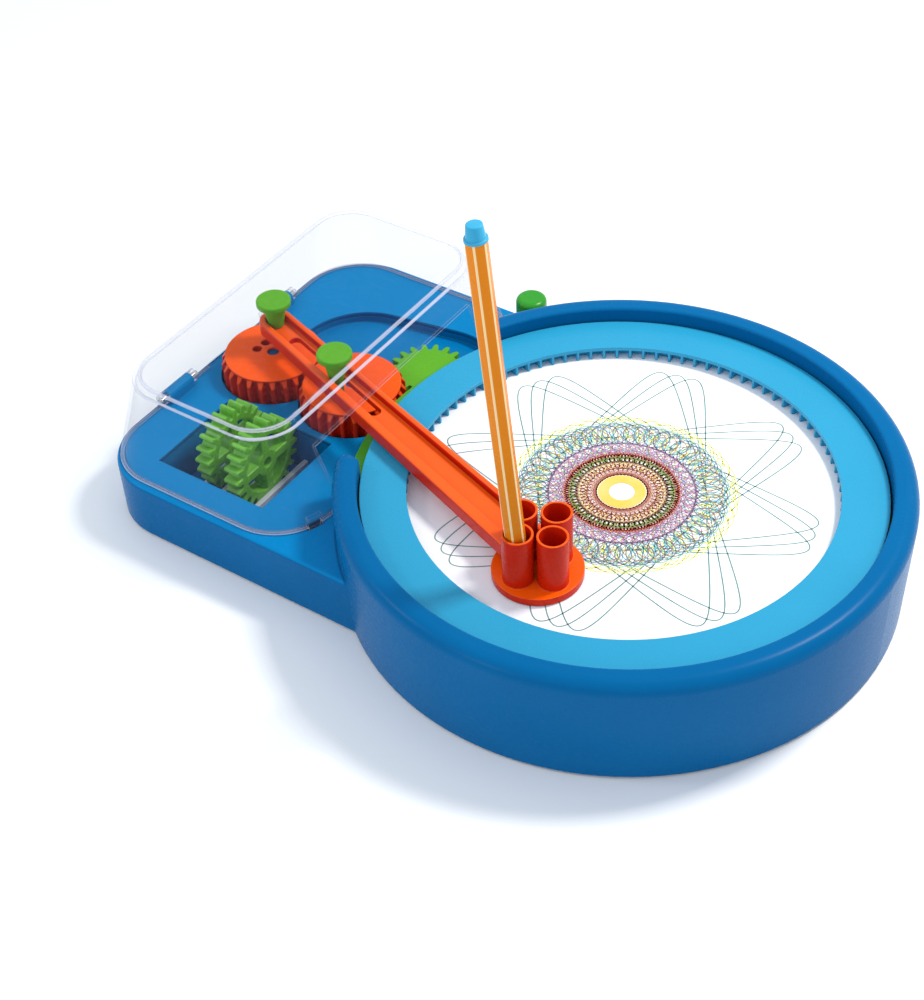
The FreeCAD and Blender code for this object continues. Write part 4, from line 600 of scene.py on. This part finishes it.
bpy.context.view_layer.objects.active = plug
bpy.ops.object.transform_apply(location=True, rotation=True, scale=True)
bpy.ops.object.shade_smooth_by_angle(angle=math.radians(40))
paint(plug, plug_blue)
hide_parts("pen_plug")
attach(plug, "pen")

# Clear cover
# A thin clear styrene lid, hinged on two steel pins at the box's left edge. Painted highlight lines mark
# its upper and lower bends, its foot and its cut edges, with almost clear panes between. Its sloped walls
# carry a painted grey shade, and it turns whiter where it is seen edge-on, as a painted reflection.

clear = Finish("clear_styrene", {"IOR": 1.5, "Specular IOR Level": 0.4})
ripple = clear.noise(55.0, 2.0)
outward = clear.node("ShaderNodeTexCoord", output="Normal")
skyward = clear.node("ShaderNodeSeparateXYZ", None, {0: outward}, "Z")
height = clear.node("ShaderNodeSeparateXYZ", None, {0: clear.place()}, "Z")
# Painted highlights: pale lines where the outer normal turns at the bends, at the foot and along the cut
# edges.
upper_line = ramp_between(clear, skyward, 0.930, 0.955) * ramp_between(clear, skyward, 0.998, 0.985)
lower_line = ramp_between(clear, skyward, 0.42, 0.47) * ramp_between(clear, skyward, 0.64, 0.58)
foot_line = ramp_between(clear, height, 0.0258, 0.0252)
softened = clear.node("ShaderNodeBevel", {"samples": 6}, {"Radius": 0.0005})
true_normal = clear.node("ShaderNodeNewGeometry", output="Normal")
facing = clear.node("ShaderNodeVectorMath", {"operation": "DOT_PRODUCT"},
                    {0: softened, 1: true_normal}, "Value")
cut_edge = ramp_between(clear, facing, 0.998, 0.93)
lines = upper_line * 0.9 + lower_line + foot_line * 0.5 + cut_edge * 0.6
# Painted reflection: the colour goes whiter where the surface is seen edge-on.
grazing = clear.node("ShaderNodeLayerWeight", None, {"Blend": 0.4}, "Facing") ** 3.0
pane = clear.mix(ripple, (0.03, 0.03, 0.05), (0.05, 0.05, 0.07))
# Painted shade: the sloped walls are tinted a little greyer and less clear than the top pane.
walls = ramp_between(clear, skyward, 0.14, 0.20) * ramp_between(clear, skyward, 0.46, 0.40)
painted_highlights = lines + grazing * 0.6
pane_with_painted_wall_shade = clear.mix(walls, pane, (0.10, 0.10, 0.15))
clear.feed(Base_Color=clear.mix(painted_highlights, pane_with_painted_wall_shade, (0.62, 0.63, 0.76)),
           Alpha=0.045 + walls * 0.02 + lines * 0.6 + grazing * 0.20,
           Roughness=0.03 + 0.03 * ripple,
           Normal=clear.bump(ripple, 0.00002))
paint(nodes["clear_cover"], clear)

# Power button
# A green push button with a round top, held under the deck by a spring clip.

knob_green = plastic("knob_green", (0.018, 0.250, 0.011), (0.032, 0.320, 0.019), roughness=0.25)
paint(nodes["power_button"], knob_green)

# Return spring
# Spring wire wound in five turns between the button's stem and the switch, under the button.

spring_low, spring_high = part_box("button_spring")
COIL_TURNS = 5
COIL_WIRE = 0.00038
coil_radius = (spring_high.x - spring_low.x) / 2 - COIL_WIRE
bpy.ops.object.select_all(action="DESELECT")
bpy.ops.mesh.primitive_circle_add(vertices=10, radius=COIL_WIRE, location=(coil_radius, 0, COIL_WIRE),
                                  rotation=(math.pi / 2, 0, 0))
coil = bpy.context.object
coil.name = "button_spring_coil"
bpy.ops.object.transform_apply(location=True, rotation=True, scale=True)
winding = coil.modifiers.new("winding", "SCREW")
winding.iterations = COIL_TURNS
winding.steps = 32
winding.render_steps = 32
winding.screw_offset = (spring_high.z - spring_low.z - COIL_WIRE * 2) / COIL_TURNS
bpy.ops.object.modifier_apply(modifier=winding.name)
bpy.ops.object.mode_set(mode="EDIT")
bpy.ops.mesh.select_all(action="SELECT")
bpy.ops.mesh.remove_doubles(threshold=0.000001)
bpy.ops.mesh.fill_holes(sides=10)
bpy.ops.mesh.select_all(action="SELECT")
bpy.ops.mesh.normals_make_consistent(inside=False)
bpy.ops.object.mode_set(mode="OBJECT")
coil.location = ((spring_low.x + spring_high.x) / 2, (spring_low.y + spring_high.y) / 2, spring_low.z)
bpy.ops.object.transform_apply(location=True, rotation=True, scale=True)
bpy.ops.object.shade_smooth()
paint(coil, plated)
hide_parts("button_spring")
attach(coil, "base")
